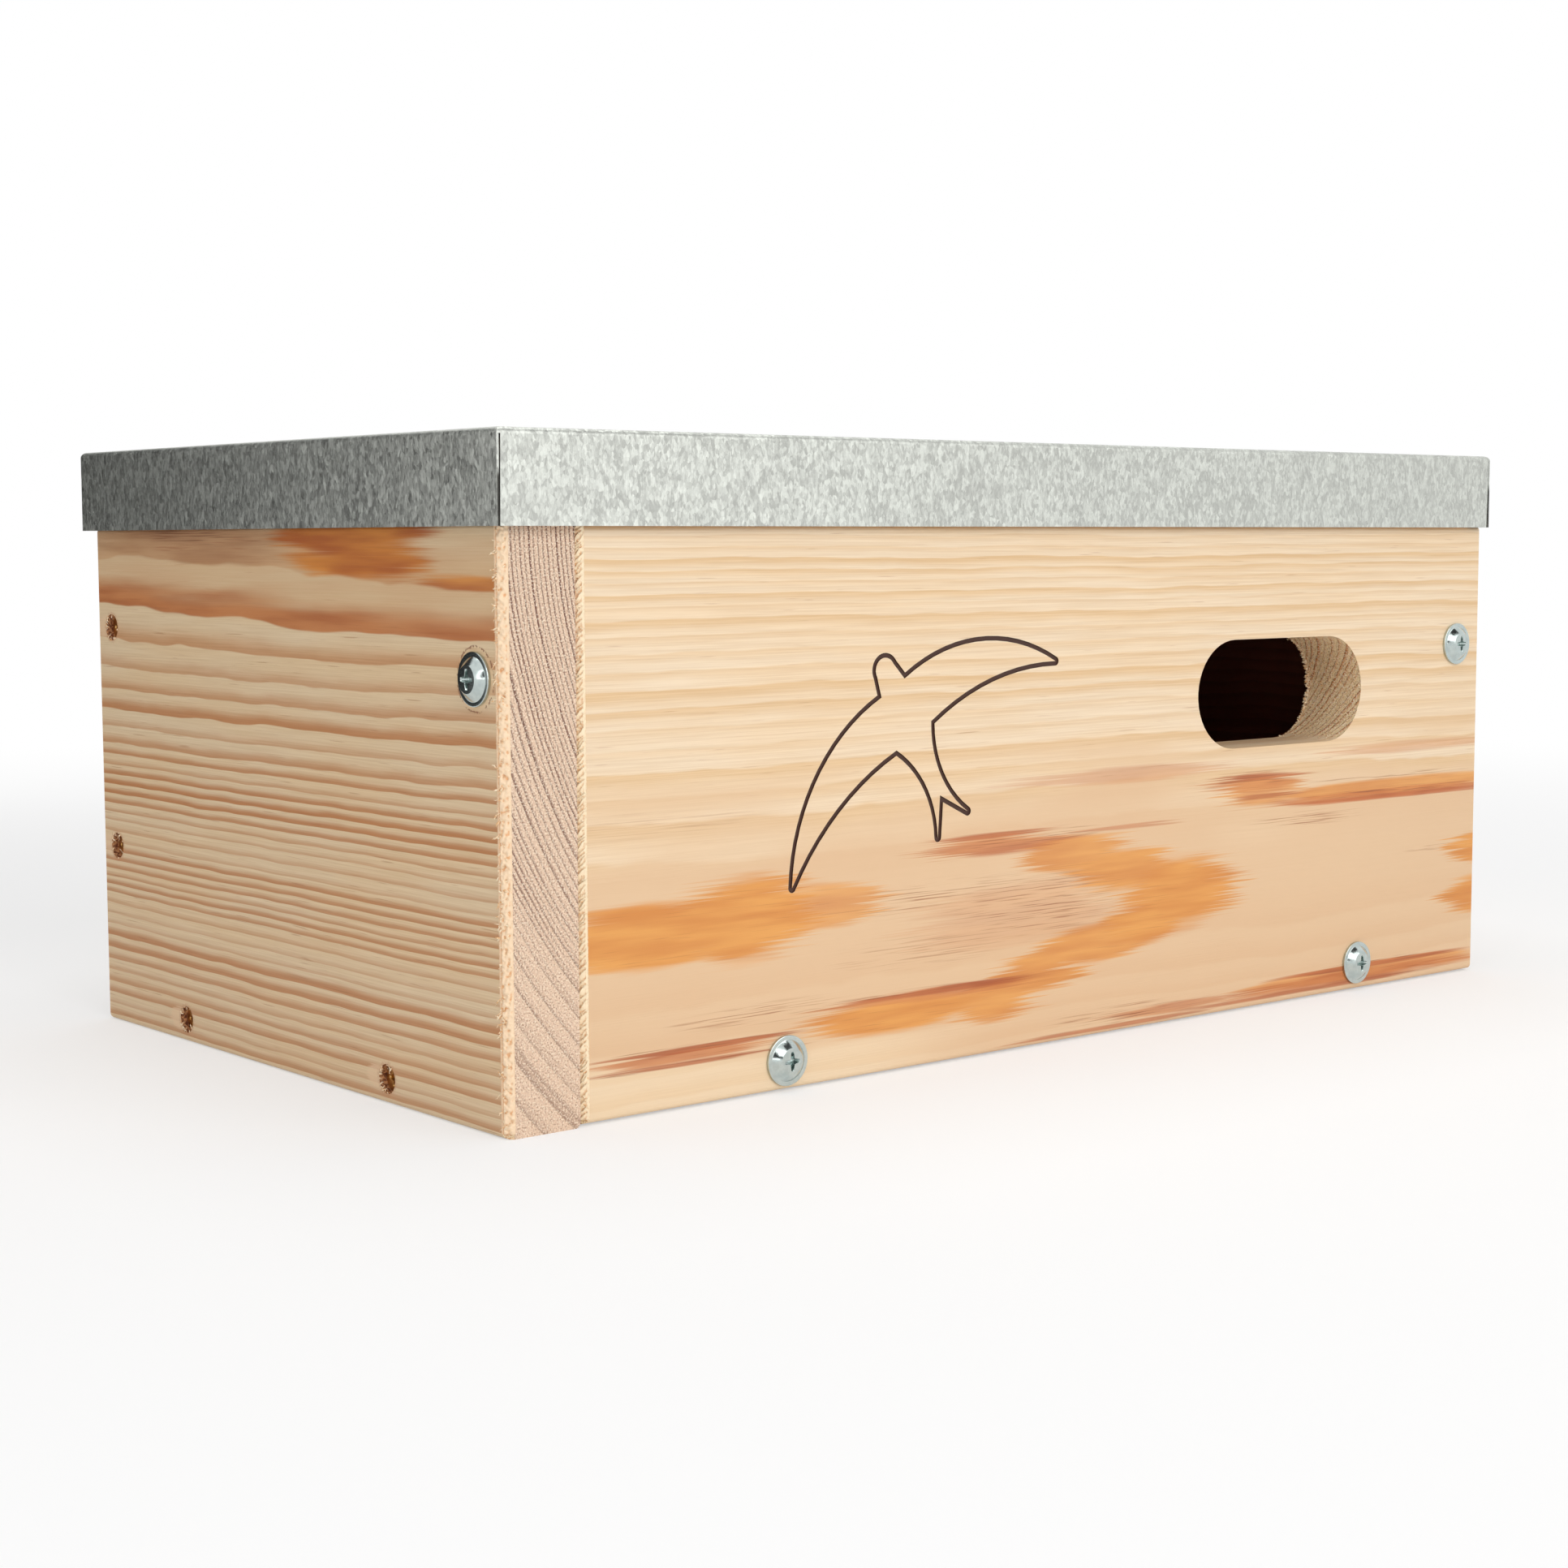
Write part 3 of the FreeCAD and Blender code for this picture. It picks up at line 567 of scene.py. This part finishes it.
def splinters(name, root, reach, lift, width, seed):
    """Closed curled splinters, one mesh.

    point(s) = root + reach s + lift 4 s (1 - s) + a small random sway, with a flat ellipse for a section that
    narrows to both ends.
    """
    rng = np.random.default_rng(seed)
    count = len(root)
    steps, sides, flatness = 6, 6, 0.4
    s = np.linspace(0, 1, steps)[None, :, None]
    turn = np.linspace(0, 2 * math.pi, sides, endpoint=False)
    length = np.linalg.norm(reach, axis=1)[:, None]
    wave = rng.normal(0, 0.07, (count, steps, 3)) * length[:, None]
    wave[:, 0] = 0
    path = root[:, None] + reach[:, None] * s + lift[:, None] * (4 * s * (1 - s)) + wave
    out = lift / np.linalg.norm(lift, axis=1)[:, None]
    beside = np.cross(reach / length, out)
    beside /= np.linalg.norm(beside, axis=1)[:, None]
    taper = (np.sin(math.pi * np.clip(s * 0.8 + 0.16, 0, 1)) * width[:, None, None])[..., None]
    around = beside[:, None, None] * np.cos(turn)[None, None, :, None]
    around = around + out[:, None, None] * np.sin(turn)[None, None, :, None] * flatness
    points = path[:, :, None] + around * taper
    index = np.arange(count * steps * sides).reshape(count, steps, sides)
    after = np.roll(index, -1, axis=2)
    quads = np.stack([index[:, :-1], index[:, 1:], after[:, 1:], after[:, :-1]], -1).reshape(-1, 4)
    caps = np.concatenate([index[:, 0], index[:, -1, ::-1]]).reshape(-1, sides)
    return linked(name, points.reshape(-1, 3), quads.tolist() + caps.tolist())


def lumps(across, up, rng):
    """Rough ground from 0 to 1: the mean of sine waves 0.8 to 2.6 mm long, in random directions."""
    waves = 24
    way, phase = rng.uniform(0, 2 * math.pi, (2, waves))
    wave = 2 * math.pi / rng.uniform(0.8, 2.6, waves)
    turns = across[..., None] * wave * np.cos(way) + up[..., None] * wave * np.sin(way) + phase
    return np.clip(0.5 + np.sin(turns).mean(-1) * 1.9, 0, 1)


CHAMFER = 2.0
LAP = 0.25
CRUST_COLUMNS, CRUST_ROW = 22, 0.16
CRUST_BELOW = 0.08
CRUST_TOP = 1.25
FLAT_SHARE, FLAT_TOP = 0.2, 0.02


def ragged_crust(name, corner, first, second, low, high, slant, ribbed, seed):
    """Closed crust of torn fibre along an upright chamfer of a board's end.

    The chamfer runs from corner + first to corner + second, and the crust laps on to both faces. Its path
    is that broken line. height(u, v) = (ribbed x rib rise + (1 - ribbed) x lumps) x bulge(u), where a rib
    follows v + slant u. The crust is flat over its first share.
    """
    rng = np.random.default_rng(seed)
    first, second = np.array(first, float), np.array(second, float)
    corner = np.array(corner, float)
    slope_length = CHAMFER * math.sqrt(2)
    knots = np.array([corner + first * (CHAMFER + LAP), corner + first * CHAMFER,
                      corner + second * CHAMFER, corner + second * (CHAMFER + LAP)])
    normals = np.array([-second, -first - second, -first - second, -first])
    normals[1:3] /= math.sqrt(2)
    where = np.array([0, LAP, LAP + slope_length, 2 * LAP + slope_length])
    u = np.linspace(0, where[-1], CRUST_COLUMNS)
    v = np.arange(low, high, CRUST_ROW)
    path = np.stack([np.interp(u, where, knots[:, axis]) for axis in range(3)], -1)
    out = np.stack([np.interp(u, where, normals[:, axis]) for axis in range(3)], -1)
    share = u / where[-1]
    row, column = np.meshgrid(v, share, indexing="ij")
    edges = low - 5 + np.cumsum(rng.uniform(0.6, 1.9, int((high - low + 14) / 0.8)))
    phase = np.interp(row + slant * column + 0.25 * np.sin(row * 1.9), edges, np.arange(len(edges)))
    rib = phase.astype(int)
    rise = rng.uniform(0.25, 1.0, len(edges))[rib]
    short = rng.uniform(0.86, 1.06, len(edges))[rib]
    start = rng.uniform(-0.05, 0.14, len(edges))[rib]
    grow = (phase - rib) ** 1.4
    bulge = np.clip(np.sin(math.pi * np.clip(column, 0, 1)), 0, 1) ** 0.8
    lump = lumps(column * where[-1], row, rng)
    inside = np.clip((short - column) / 0.08, 0, 1) * np.clip((column - start) / 0.08, 0, 1)
    inside = inside * ribbed + np.clip(lump * 2.4 + bulge * 2 - 1.3, 0, 1) * (1 - ribbed)
    rough = rise * grow * (0.12 + 0.85 * bulge) * ribbed + lump * (0.1 + 0.8 * bulge) * (1 - ribbed)
    height = 0.03 + inside * (0.08 + rough) + rng.normal(0, 0.025, row.shape)
    height = np.clip(height, 0.015, np.where(column < FLAT_SHARE, FLAT_TOP, CRUST_TOP))
    top = path[None] + out[None] * height[..., None]
    bottom = path[None] - out[None] * CRUST_BELOW + np.zeros_like(top)
    top[..., 2] = bottom[..., 2] = row
    rows, columns = row.shape
    points = np.concatenate([top.reshape(-1, 3), bottom.reshape(-1, 3)])
    index = np.arange(rows * columns).reshape(rows, columns)
    under = index + rows * columns

    def strip(a, b, c, d):
        return np.stack([a, b, c, d], -1).reshape(-1, 4)

    faces = [strip(index[:-1, :-1], index[:-1, 1:], index[1:, 1:], index[1:, :-1]),
             strip(under[:-1, :-1], under[1:, :-1], under[1:, 1:], under[:-1, 1:]),
             strip(index[0, :-1], under[0, :-1], under[0, 1:], index[0, 1:]),
             strip(index[-1, :-1], index[-1, 1:], under[-1, 1:], under[-1, :-1]),
             strip(index[:-1, 0], index[1:, 0], under[1:, 0], under[:-1, 0]),
             strip(index[:-1, -1], under[:-1, -1], under[1:, -1], index[1:, -1])]
    made = linked(name, points, np.concatenate(faces).tolist())
    # The crest value paints shade: the crust is browner where it is low, paler on its crests and rims, and
    # its first columns in the gap between the boards are set negative for dark painted shade.
    crest_shade = made.data.attributes.new("crest_shade", "FLOAT", "POINT")
    rim = (column > 0.85) | ((column < 0.15) & (ribbed < 0.5))
    values = np.clip(height / 0.75 + 0.35 * rim, 0, 1) - (column < 0.16) * (ribbed > 0.5)
    values = np.concatenate([values.ravel(), np.zeros(rows * columns)])
    crest_shade.data.foreach_set("value", values.astype(np.float32))
    return made


def fibre_finish(name, pale, deep, crested):
    """Loose pine fibre, paler than the face. Where crested, it is browner in its hollows as painted shade,
    and dark as painted shade where its crest value is negative, in the gap between the boards.
    """
    tree = Tree(name)
    x, y, z = tree.place()
    tone = tree.noise(x * 1.3, y * 1.3, z * 1.3, 2.0, 0.6)
    if crested:
        crest_shade = tree.add("Attribute", {"attribute_name": "crest_shade"}, {})["Fac"]
        body = tree.mix(tree.step(crest_shade * 0.8 + tone * 0.4, 0.22, 0.62), deep, pale)
        body = tree.mix(tree.step(crest_shade, -0.2, -0.5) * 0.95, body, srgb(122, 74, 48))
    else:
        body = tree.mix(tree.step(tone, 0.35, 0.6), deep, pale)
    return tree.finish(Base_Color=body, Roughness=0.8 - tone * 0.1)


torn = fibre_finish("torn_pine_fibre", srgb(255, 238, 208), srgb(236, 186, 130), False)
lumpy = fibre_finish("lumpy_pine_crust", srgb(250, 222, 188), srgb(234, 182, 134), True)
ribs = fibre_finish("ribbed_pine_crust", srgb(254, 234, 200), srgb(216, 160, 108), True)


def attach(piece, material, slot):
    """Gives a piece its material and makes it ride with the box. Its slot is not used."""
    piece.data.materials.append(material)
    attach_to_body(piece, "root")


skirt_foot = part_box("metal_cap")[0].z / MM
BACK, ASIDE = np.array([0.0, 1.0, 0.0]), np.array([1.0, 0.0, 0.0])
BOARD_SPLINTERS = 420
# Board, its near corner, foot and top of the crust, slant of the ribs, their share, finish and seed.
BOARD_ENDS = (
    ("left_side", (side_low.x / MM, side_low.y / MM, 0), 1.2, skirt_foot + 0.5, 1.2, 0.2, lumpy, 5),
    ("front_panel", (PANEL_END, PANEL_FACE, 0), 1.6, skirt_foot + 0.2, -3.2, 0.85, ribs, 9),
)
for board, corner, low, high, slant, ribbed, finish, seed in BOARD_ENDS:
    made = ragged_crust(f"{board}_crust", corner, BACK, ASIDE, low, high, slant, ribbed, seed)
    attach(made, finish, board)
    rng = np.random.default_rng(seed + 1)
    count = BOARD_SPLINTERS
    root = np.array(corner, float) + BACK * CHAMFER * 0.7 + ASIDE * CHAMFER * 0.3
    root = root + np.outer(rng.uniform(-0.6, 0.6, count), ASIDE - BACK)
    root[:, 2] = rng.uniform(low + 1, high - 1, count)
    reach = np.outer(rng.uniform(0.3, 1.1, count) * rng.choice([-1, 1], count), ASIDE - BACK)
    reach[:, 2] = rng.normal(-0.5, 0.7, count)
    lift = np.outer(rng.uniform(0.12, 0.45, count), -BACK - ASIDE)
    made = splinters(f"{board}_splinters", root, reach, lift, rng.uniform(0.08, 0.22, count), seed + 2)
    attach(made, torn, board)

# Frayed wood at the holes: the drill left short splinters round each sunk screw of the two side boards, and
# the cutter left a fuzz of end grain on the right end of the entrance slot.
rng = np.random.default_rng(41)
HOLE_SPLINTERS = 22
holes = np.array([(side * BOX_HALF, *hole, side) for side in (-1, 1) for hole in SIDE_HOLES])
holes = np.repeat(holes, HOLE_SPLINTERS, axis=0)
base, side = holes[:, :3], holes[:, 3:]
angle = rng.vonmises(0.3, 0.8, len(base))
radial = np.stack([np.zeros_like(angle), np.cos(angle), np.sin(angle)], -1)
outward = side * ASIDE
root = base + radial * rng.uniform(3.5, 3.9, len(base))[:, None] - outward * 0.15
reach = -radial * rng.uniform(0.3, 1.5, len(base))[:, None]
reach = reach + rng.normal(0, 0.5, radial.shape) * (1 - ASIDE)
lift = outward * rng.uniform(0.1, 0.4, len(base))[:, None] - radial * 0.05
made = splinters("screw_hole_splinters", root, reach, lift, rng.uniform(0.1, 0.3, len(base)), 42)
attach(made, torn, "left_side")

# Fuzz on the slot's right end; the first splinters stand ragged over the edge at the panel's back.
SLOT_END = np.array([107.0, 0, 90.0])
SLOT_RADIUS = 15.25
PANEL_BACK = panel_high.y / MM
count, ragged = 1300, 260
angle = np.clip(rng.normal(0.1, 0.75, count), -1.4, 1.5)
outward = np.stack([-np.cos(angle), np.zeros(count), -np.sin(angle)], -1)
root = SLOT_END - outward * (SLOT_RADIUS + 0.05)
root[:, 1] = rng.uniform(PANEL_FACE + 1.0, PANEL_BACK - 0.2, count)
root[:ragged, 1] = PANEL_BACK - rng.uniform(0.1, 0.9, ragged)
scatter = rng.normal(0, 0.28, (count, 3))
reach = scatter + np.stack([np.zeros(count), rng.uniform(-1.0, 0.6, count), -np.abs(np.cos(angle)) * 0.4], -1)
reach[:ragged] = np.outer(rng.uniform(0.3, 1.7, ragged) * np.cos(angle[:ragged]) ** 2, -ASIDE)
reach[:ragged] += rng.normal(0, 0.15, (ragged, 3))
lift = outward * rng.uniform(0.12, 0.42, count)[:, None]
lift[:ragged] = np.array([0.05, -0.2, 0.1])
width = rng.uniform(0.06, 0.17, count)
width[:ragged] *= 2.4
made = splinters("entrance_fuzz", root, reach, lift, width, 43)
attach(made, torn, "front_panel")

# Metal cap: one galvanised sheet, 0.6 mm, folded down on four sides over the roof board.
# The zinc shows a fine spangle: small crystals that catch the light differently. The seams at the front
# corners are open; the sheet beside them is darkened as painted shade, partly for the darker bare cut edge.
cap = Tree("galvanised_sheet")
cap_x, cap_y, cap_z = cap.place()


def spangle(across, up):
    """Crystals of 1 / across by 1 / up millimetres: the shade of each, and its facet, tilted its own way.

    facet = sum over the axes of (place - crystal's middle) x (random share - 0.5).
    """
    place = {"X": cap_x * across, "Y": cap_y * across, "Z": cap_z * up}
    spot = cap.add("CombineXYZ", {}, place)["Vector"]
    cell = cap.add("TexVoronoi", {"feature": "F1"}, {"Vector": spot, "Scale": 1.0})
    share = cap.add("SeparateXYZ", {}, {"Vector": cell["Color"]})
    middle = cap.add("SeparateXYZ", {}, {"Vector": cell["Position"]})
    return share["X"], sum(((place[axis] - middle[axis]) * (share[axis] - 0.5) for axis in "XYZ"), 0.0)


SPANGLE_RELIEF = 0.0002
large, large_facet = spangle(0.75, 0.42)
small, small_facet = spangle(1.7, 0.9)
crystal = large * 0.5 + small * 0.5
fine = cap.noise(cap_x * 2.6, cap_y * 2.6, cap_z * 1.4, 3.0, 0.65)
cloud = cap.noise(cap_x * 0.03, cap_y * 0.03, cap_z * 0.05, 2.0)
tone = crystal * 0.6 + fine * 0.3 + cloud * 0.1
zinc_colour = cap.mix(cap.step(tone, 0.25, 0.75), srgb(184, 186, 180), srgb(208, 211, 204))
cap_low, cap_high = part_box("metal_cap")
# Painted shade in the open front seams, partly the darker bare cut edge of the sheet; it fades out above 147
# mm.
left_seam_shade = cap.step(cap_x, cap_low.x / MM + 0.03, cap_low.x / MM + 0.1)
left_seam_shade = left_seam_shade * cap.step(cap_x, cap_low.x / MM + 0.9, cap_low.x / MM + 0.6)
right_seam_shade = cap.step(cap_x, cap_high.x / MM - 0.62, cap_high.x / MM - 0.5)
seam_shade = (left_seam_shade + right_seam_shade) * cap.step(cap_y, cap_low.y / MM + 1.2, cap_low.y / MM + 1.0)
seam_shade = seam_shade * cap.step(cap_z, 150, 147)
zinc_colour = cap.mix(seam_shade * 0.95, zinc_colour, srgb(44, 42, 38))
zinc_rough = 0.3 + crystal * 0.14 + fine * 0.06
zinc_normal = cap.bump(large_facet * 0.6 + small_facet * 0.4 + fine * 0.15, SPANGLE_RELIEF)
zinc = cap.finish(Base_Color=zinc_colour, Metallic=1.0, Roughness=zinc_rough, Normal=zinc_normal)
dress("metal_cap", zinc)

# Screws: four zinc plated wafer head screws hold the front panel, and yellow zinc countersunk ones, driven
# below the face, hold the boards. Each is a turned and rolled blank with a cross recess pressed in its head.
SHARPEST = 24


def turned(name, radius, level, base, outward):
    """Closed surface of revolution from arrays radius(ring, angle) and level(ring, angle).

    Point = base + outward level + sideways radius cos(angle) + across radius sin(angle); the first and the
    last ring shrink to a point.
    """
    rings, sides = radius.shape
    angle = np.linspace(0, 2 * math.pi, sides, endpoint=False)[None, :]
    frame_axes = np.array(Vector(outward).to_track_quat("Z", "Y").to_matrix())
    flat = np.stack([radius * np.cos(angle), radius * np.sin(angle), level], -1)
    points = flat @ frame_axes.T + np.array(base)
    foot, top = points[0].mean(0), points[-1].mean(0)
    points = np.concatenate([points.reshape(-1, 3), [foot, top]])
    index = np.arange(rings * sides).reshape(rings, sides)
    after = np.roll(index, -1, axis=1)
    quads = np.stack([index[:-1], after[:-1], after[1:], index[1:]], -1).reshape(-1, 4)
    foot_index, top_index = np.full((2, sides), [[rings * sides], [rings * sides + 1]])
    fans = np.concatenate([np.stack([foot_index, after[0], index[0]], -1),
                           np.stack([top_index, index[-1], after[-1]], -1)])
    made = linked(name, points, quads.tolist() + fans.tolist())
    made.data.set_sharp_from_angle(angle=math.radians(SHARPEST))
    return made


THREAD_PITCH = 1.8
THREAD_RINGS = 100
CORE_SHARE, NECK_SHARE = 0.34, 0.36


def screw_shape(length, shank, head, sides):
    """Rings of a screw from its point to the middle of its head.

    radius = core + ridge x triangle wave(level / pitch - angle / one turn) along the thread, which ends 4 mm
    below the head's seat, then the head's own profile, given as (radius, level above the seat).
    """
    angle = np.linspace(0, 2 * math.pi, sides, endpoint=False)[None, :]
    level = np.linspace(0.15, length - 4.0, THREAD_RINGS)[:, None]
    core = np.minimum(shank * CORE_SHARE, 0.1 + level * 0.22)
    phase = (level / THREAD_PITCH - angle / (2 * math.pi)) % 1
    ridge = np.clip(1 - np.abs(phase - 0.5) * 4.2, 0, 1) * np.clip(level / 4, 0, 1)
    ridge = ridge * np.clip((length - 4.2 - level) / 1.5, 0, 1)
    radius = core + ridge * (shank * 0.5 - core)
    neck_radius = shank * NECK_SHARE
    neck = np.array([(neck_radius, length - 3.6), (neck_radius, length - 0.05)] + head)
    radius = np.concatenate([radius, np.repeat(neck[:, :1], sides, 1)])
    level = np.concatenate([np.repeat(level, sides, 1), np.repeat(neck[:, 1:], sides, 1)])
    return radius, level, angle


RECESS_RINGS = 46


def with_cross(radius, level, angle, top_radius, span, arm, depth):
    """Adds the slightly crowned flat of the head with a cross recess.

    level = crown (1 - (radius / top radius) squared) - depth x wall x fall, where wall drops from 1 to 0
    across an arm's side and fall from 1 to 0 at its end. The arms flare towards the middle.
    """
    inner = np.linspace(top_radius, 0.05, RECESS_RINGS)[:, None] * np.ones_like(angle)
    across = np.abs(inner * np.cos(angle))
    up = np.abs(inner * np.sin(angle))
    reach = np.maximum(across, up)
    beside = np.minimum(across, up)
    half = span / 2
    flare = 0.42 * np.clip(1 - reach / half, 0, 1) ** 1.5
    wall = np.clip((arm + flare - beside) / (arm * 0.5), 0, 1)
    fall = np.clip((half - reach) / (half * 0.35), 0, 1)
    recess = depth * wall * fall
    crown = 0.06 * (1 - (inner / top_radius) ** 2)
    flat = level[-1:] + crown - recess
    return np.concatenate([radius, inner]), np.concatenate([level, flat])


PIT_DEPTH = 0.000008


def plated(name, colour, shade, rough):
    """Zinc plate: bright metal with faint dull patches and tiny pits."""
    tree = Tree(name)
    x, y, z = tree.place()
    patch = tree.noise(x * 0.5, y * 0.5, z * 0.5, 3.0, 0.6)
    pit = tree.noise(x * 4, y * 4, z * 4, 2.0)
    body = tree.mix(tree.step(patch, 0.3, 0.7), colour, shade)
    return tree.finish(Base_Color=body, Metallic=1.0, Roughness=rough + patch * 0.12,
                       Normal=tree.bump(pit, PIT_DEPTH))


blue_zinc = plated("bright_zinc", srgb(196, 206, 203), srgb(182, 193, 191), 0.1)
yellow_zinc = plated("yellow_zinc", srgb(226, 186, 118), srgb(180, 134, 78), 0.26)
WAFER_HEAD = [(2.2, 0.0), (6.04, 0.0), (6.16, 0.04), (WAFER_RADIUS, 0.14), (WAFER_RADIUS, 0.64), (6.16, 0.74),
              (6.06, 0.79), (5.98, 0.8), (5.16, 0.8), (5.08, 0.84), (5.02, 0.92), (3.34, 2.38), (3.28, 2.42),
              (3.16, 2.44), (3.1, 2.44)]
SUNK_HEAD = [(2.0, -1.5), (3.42, -0.08), (3.5, -0.02), (3.42, 0.0), (3.3, 0.0)]


def screw(node, outward, head, shank, head_height, top_radius, span, arm, depth, sides, material):
    """A finished screw in the place of a CAD node, whose head stands head_height above its seat."""
    low, high = (np.array(corner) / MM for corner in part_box(node))
    way = np.array(outward)
    middle = (low + high) / 2
    tall = float(np.abs((high - low) @ way))
    point = middle - way * tall / 2
    length = tall - head_height
    rows = [(r, length + lift) for r, lift in head]
    radius, level, angle = screw_shape(length, shank, rows, sides)
    radius, level = with_cross(radius, level, angle, top_radius, span, arm, depth)
    made = turned(f"{node}_finished", radius, level, point, outward)
    made.data.materials.append(material)
    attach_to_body(made, "root")
    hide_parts(node)
    return made


def point_of(node):
    """The way a screw's head points, from its node's name."""
    if node in ("panel_screw_low_left", "panel_screw_low_right", "panel_screw_right"):
        return (0, -1, 0)
    if node.startswith("left") or node == "panel_screw_left":
        return (-1, 0, 0)
    if node.startswith("right"):
        return (1, 0, 0)
    return (0, 1, 0) if node.startswith("rear") else (0, 0, 1)


for node in sorted(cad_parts):
    if node.startswith("panel_screw"):
        made = screw(node, point_of(node), WAFER_HEAD, shank=4.2, head_height=2.5, top_radius=3.0, span=4.7,
                     arm=0.42, depth=1.7, sides=128, material=blue_zinc)
    elif "_screw_" in node:
        made = screw(node, point_of(node), SUNK_HEAD, shank=4.0, head_height=0.0, top_radius=3.2, span=4.2,
                     arm=0.42, depth=1.2, sides=64, material=yellow_zinc)

# Studio: a white floor that keeps the box's shadow, and white all round for the camera and for reflections.
# Four soft lamps stand in front, near the left corner, on the left and above. Three dark cards, which the
# camera doesn't see, give the zinc something dark to reflect.

def background_rays(tree):
    """1 for rays that show the background: from the camera, off a glossy surface or through glass."""
    rays = tree.add("LightPath", {}, {})
    shown = rays["Is Camera Ray"].math("MAXIMUM", rays["Is Camera Ray"], rays["Is Glossy Ray"])
    return shown.math("MAXIMUM", shown, rays["Is Transmission Ray"])


WHITE = (1, 1, 1, 1)
floor_finish = Tree("studio_white")
floor_x, floor_y = floor_finish.place()[:2]
distance = (floor_x ** 2 + floor_y ** 2) ** 0.5
white = floor_finish.add("Emission", {}, {"Color": WHITE, "Strength": 1.0})["Emission"]
floor_finish.feed(floor_finish.shader, "Base Color", srgb(248, 248, 248))
floor_finish.feed(floor_finish.shader, "Roughness", 0.9)
plain = Node(floor_finish, floor_finish.shader)["BSDF"]
share = background_rays(floor_finish) * (0.45 + floor_finish.step(distance, 300, 1100) * 0.55)
blend = floor_finish.add("MixShader", {}, {0: share, 1: plain, 2: white})["Shader"]
floor_finish.feed(floor_finish.nodes["Material Output"], "Surface", blend)
FLOOR_HALF = 6.0


def card(name, corners, material):
    """Flat card through four corners in metres, part of the studio."""
    mesh = bpy.data.meshes.new(name)
    mesh.from_pydata(corners, [], [(0, 1, 2, 3)])
    mesh.materials.append(material)
    made = bpy.data.objects.new(name, mesh)
    bpy.context.scene.collection.objects.link(made)
    return made


FLOOR = [(x * FLOOR_HALF, y * FLOOR_HALF, 0) for x, y in ((-1, -1), (1, -1), (1, 1), (-1, 1))]
card("studio_floor", FLOOR, floor_finish.material)
DARK_CARDS = (
    ("studio_flag", [(-0.56, 0.35, 0.001), (-0.05, 0.75, 0.001), (-0.05, 0.75, 0.7), (-0.56, 0.35, 0.7)]),
    ("studio_hood", [(-0.68, -1.35, 0.25), (-1.4, -0.75, 0.25), (-1.3, -0.65, 0.85), (-0.58, -1.25, 0.85)]),
    ("studio_brow", [(0.0, -1.05, 0.95), (0.78, -0.62, 0.95), (0.74, -0.38, 1.25), (-0.04, -0.8, 1.25)]),
)
dark = Tree("studio_black").finish(Base_Color=srgb(26, 26, 26), Roughness=0.9)
for name, corners in DARK_CARDS:
    card(name, corners, dark).visible_camera = False

world = bpy.data.worlds.new("studio_room")
bpy.context.scene.world = world
world.use_nodes = True


class WorldTree(Tree):
    """The node tree of the world, built with the same calls."""

    def __init__(self, tree):
        self.nodes = tree.nodes
        self.links = tree.links


ROOM_GREY = (0.42, 0.42, 0.42, 1)
room = WorldTree(world.node_tree)
background = room.nodes["Background"]
room.feed(background, "Color", room.mix(background_rays(room), ROOM_GREY, WHITE))
room.feed(background, "Strength", 1.0)

AIM = (0, 0, 0.08)


def lamp(name, place, width, height, power):
    """Rectangular soft white lamp at a place, aimed at the box; sizes in metres, power in watts."""
    data = bpy.data.lights.new(name, "AREA")
    data.shape = "RECTANGLE"
    data.size = width
    data.size_y = height
    data.energy = power
    made = bpy.data.objects.new(name, data)
    made.location = place
    made.rotation_euler = (Vector(AIM) - Vector(place)).to_track_quat("-Z", "Y").to_euler()
    bpy.context.scene.collection.objects.link(made)


lamp("key_lamp", (0.3, -1.95, 0.95), 1.8, 1.7, 12.5)
lamp("near_lamp", (-0.5, -1.05, 0.75), 0.6, 0.6, 3.0)
lamp("fill_lamp", (-1.75, -1.3, 0.8), 1.2, 1.2, 11)
lamp("top_lamp", (0, 0.1, 2.2), 2.0, 2.0, 22)

# Camera: stands at the photograph's place, in front of the near corner and level with the panel's top edge.
# Its angles are in radians, its lens in millimetres for a 36 mm wide picture.
camera_data = bpy.data.cameras.new("view_camera")
camera_data.sensor_width = 36
camera_data.lens = 59.9
camera = bpy.data.objects.new("view_camera", camera_data)
bpy.context.scene.collection.objects.link(camera)
bpy.context.scene.camera = camera
YAW, PITCH, ROLL = 0.69391, 0.09246, 0.00329
camera.location = (-0.49662, -0.57926, 0.13278)
ahead = Vector((math.sin(YAW) * math.cos(PITCH), math.cos(YAW) * math.cos(PITCH), -math.sin(PITCH)))
turn = ahead.to_track_quat("-Z", "Y").to_matrix() @ Matrix.Rotation(-ROLL, 3, "Z")
camera.rotation_euler = turn.to_euler()
bpy.context.scene.view_settings.view_transform = "Standard"
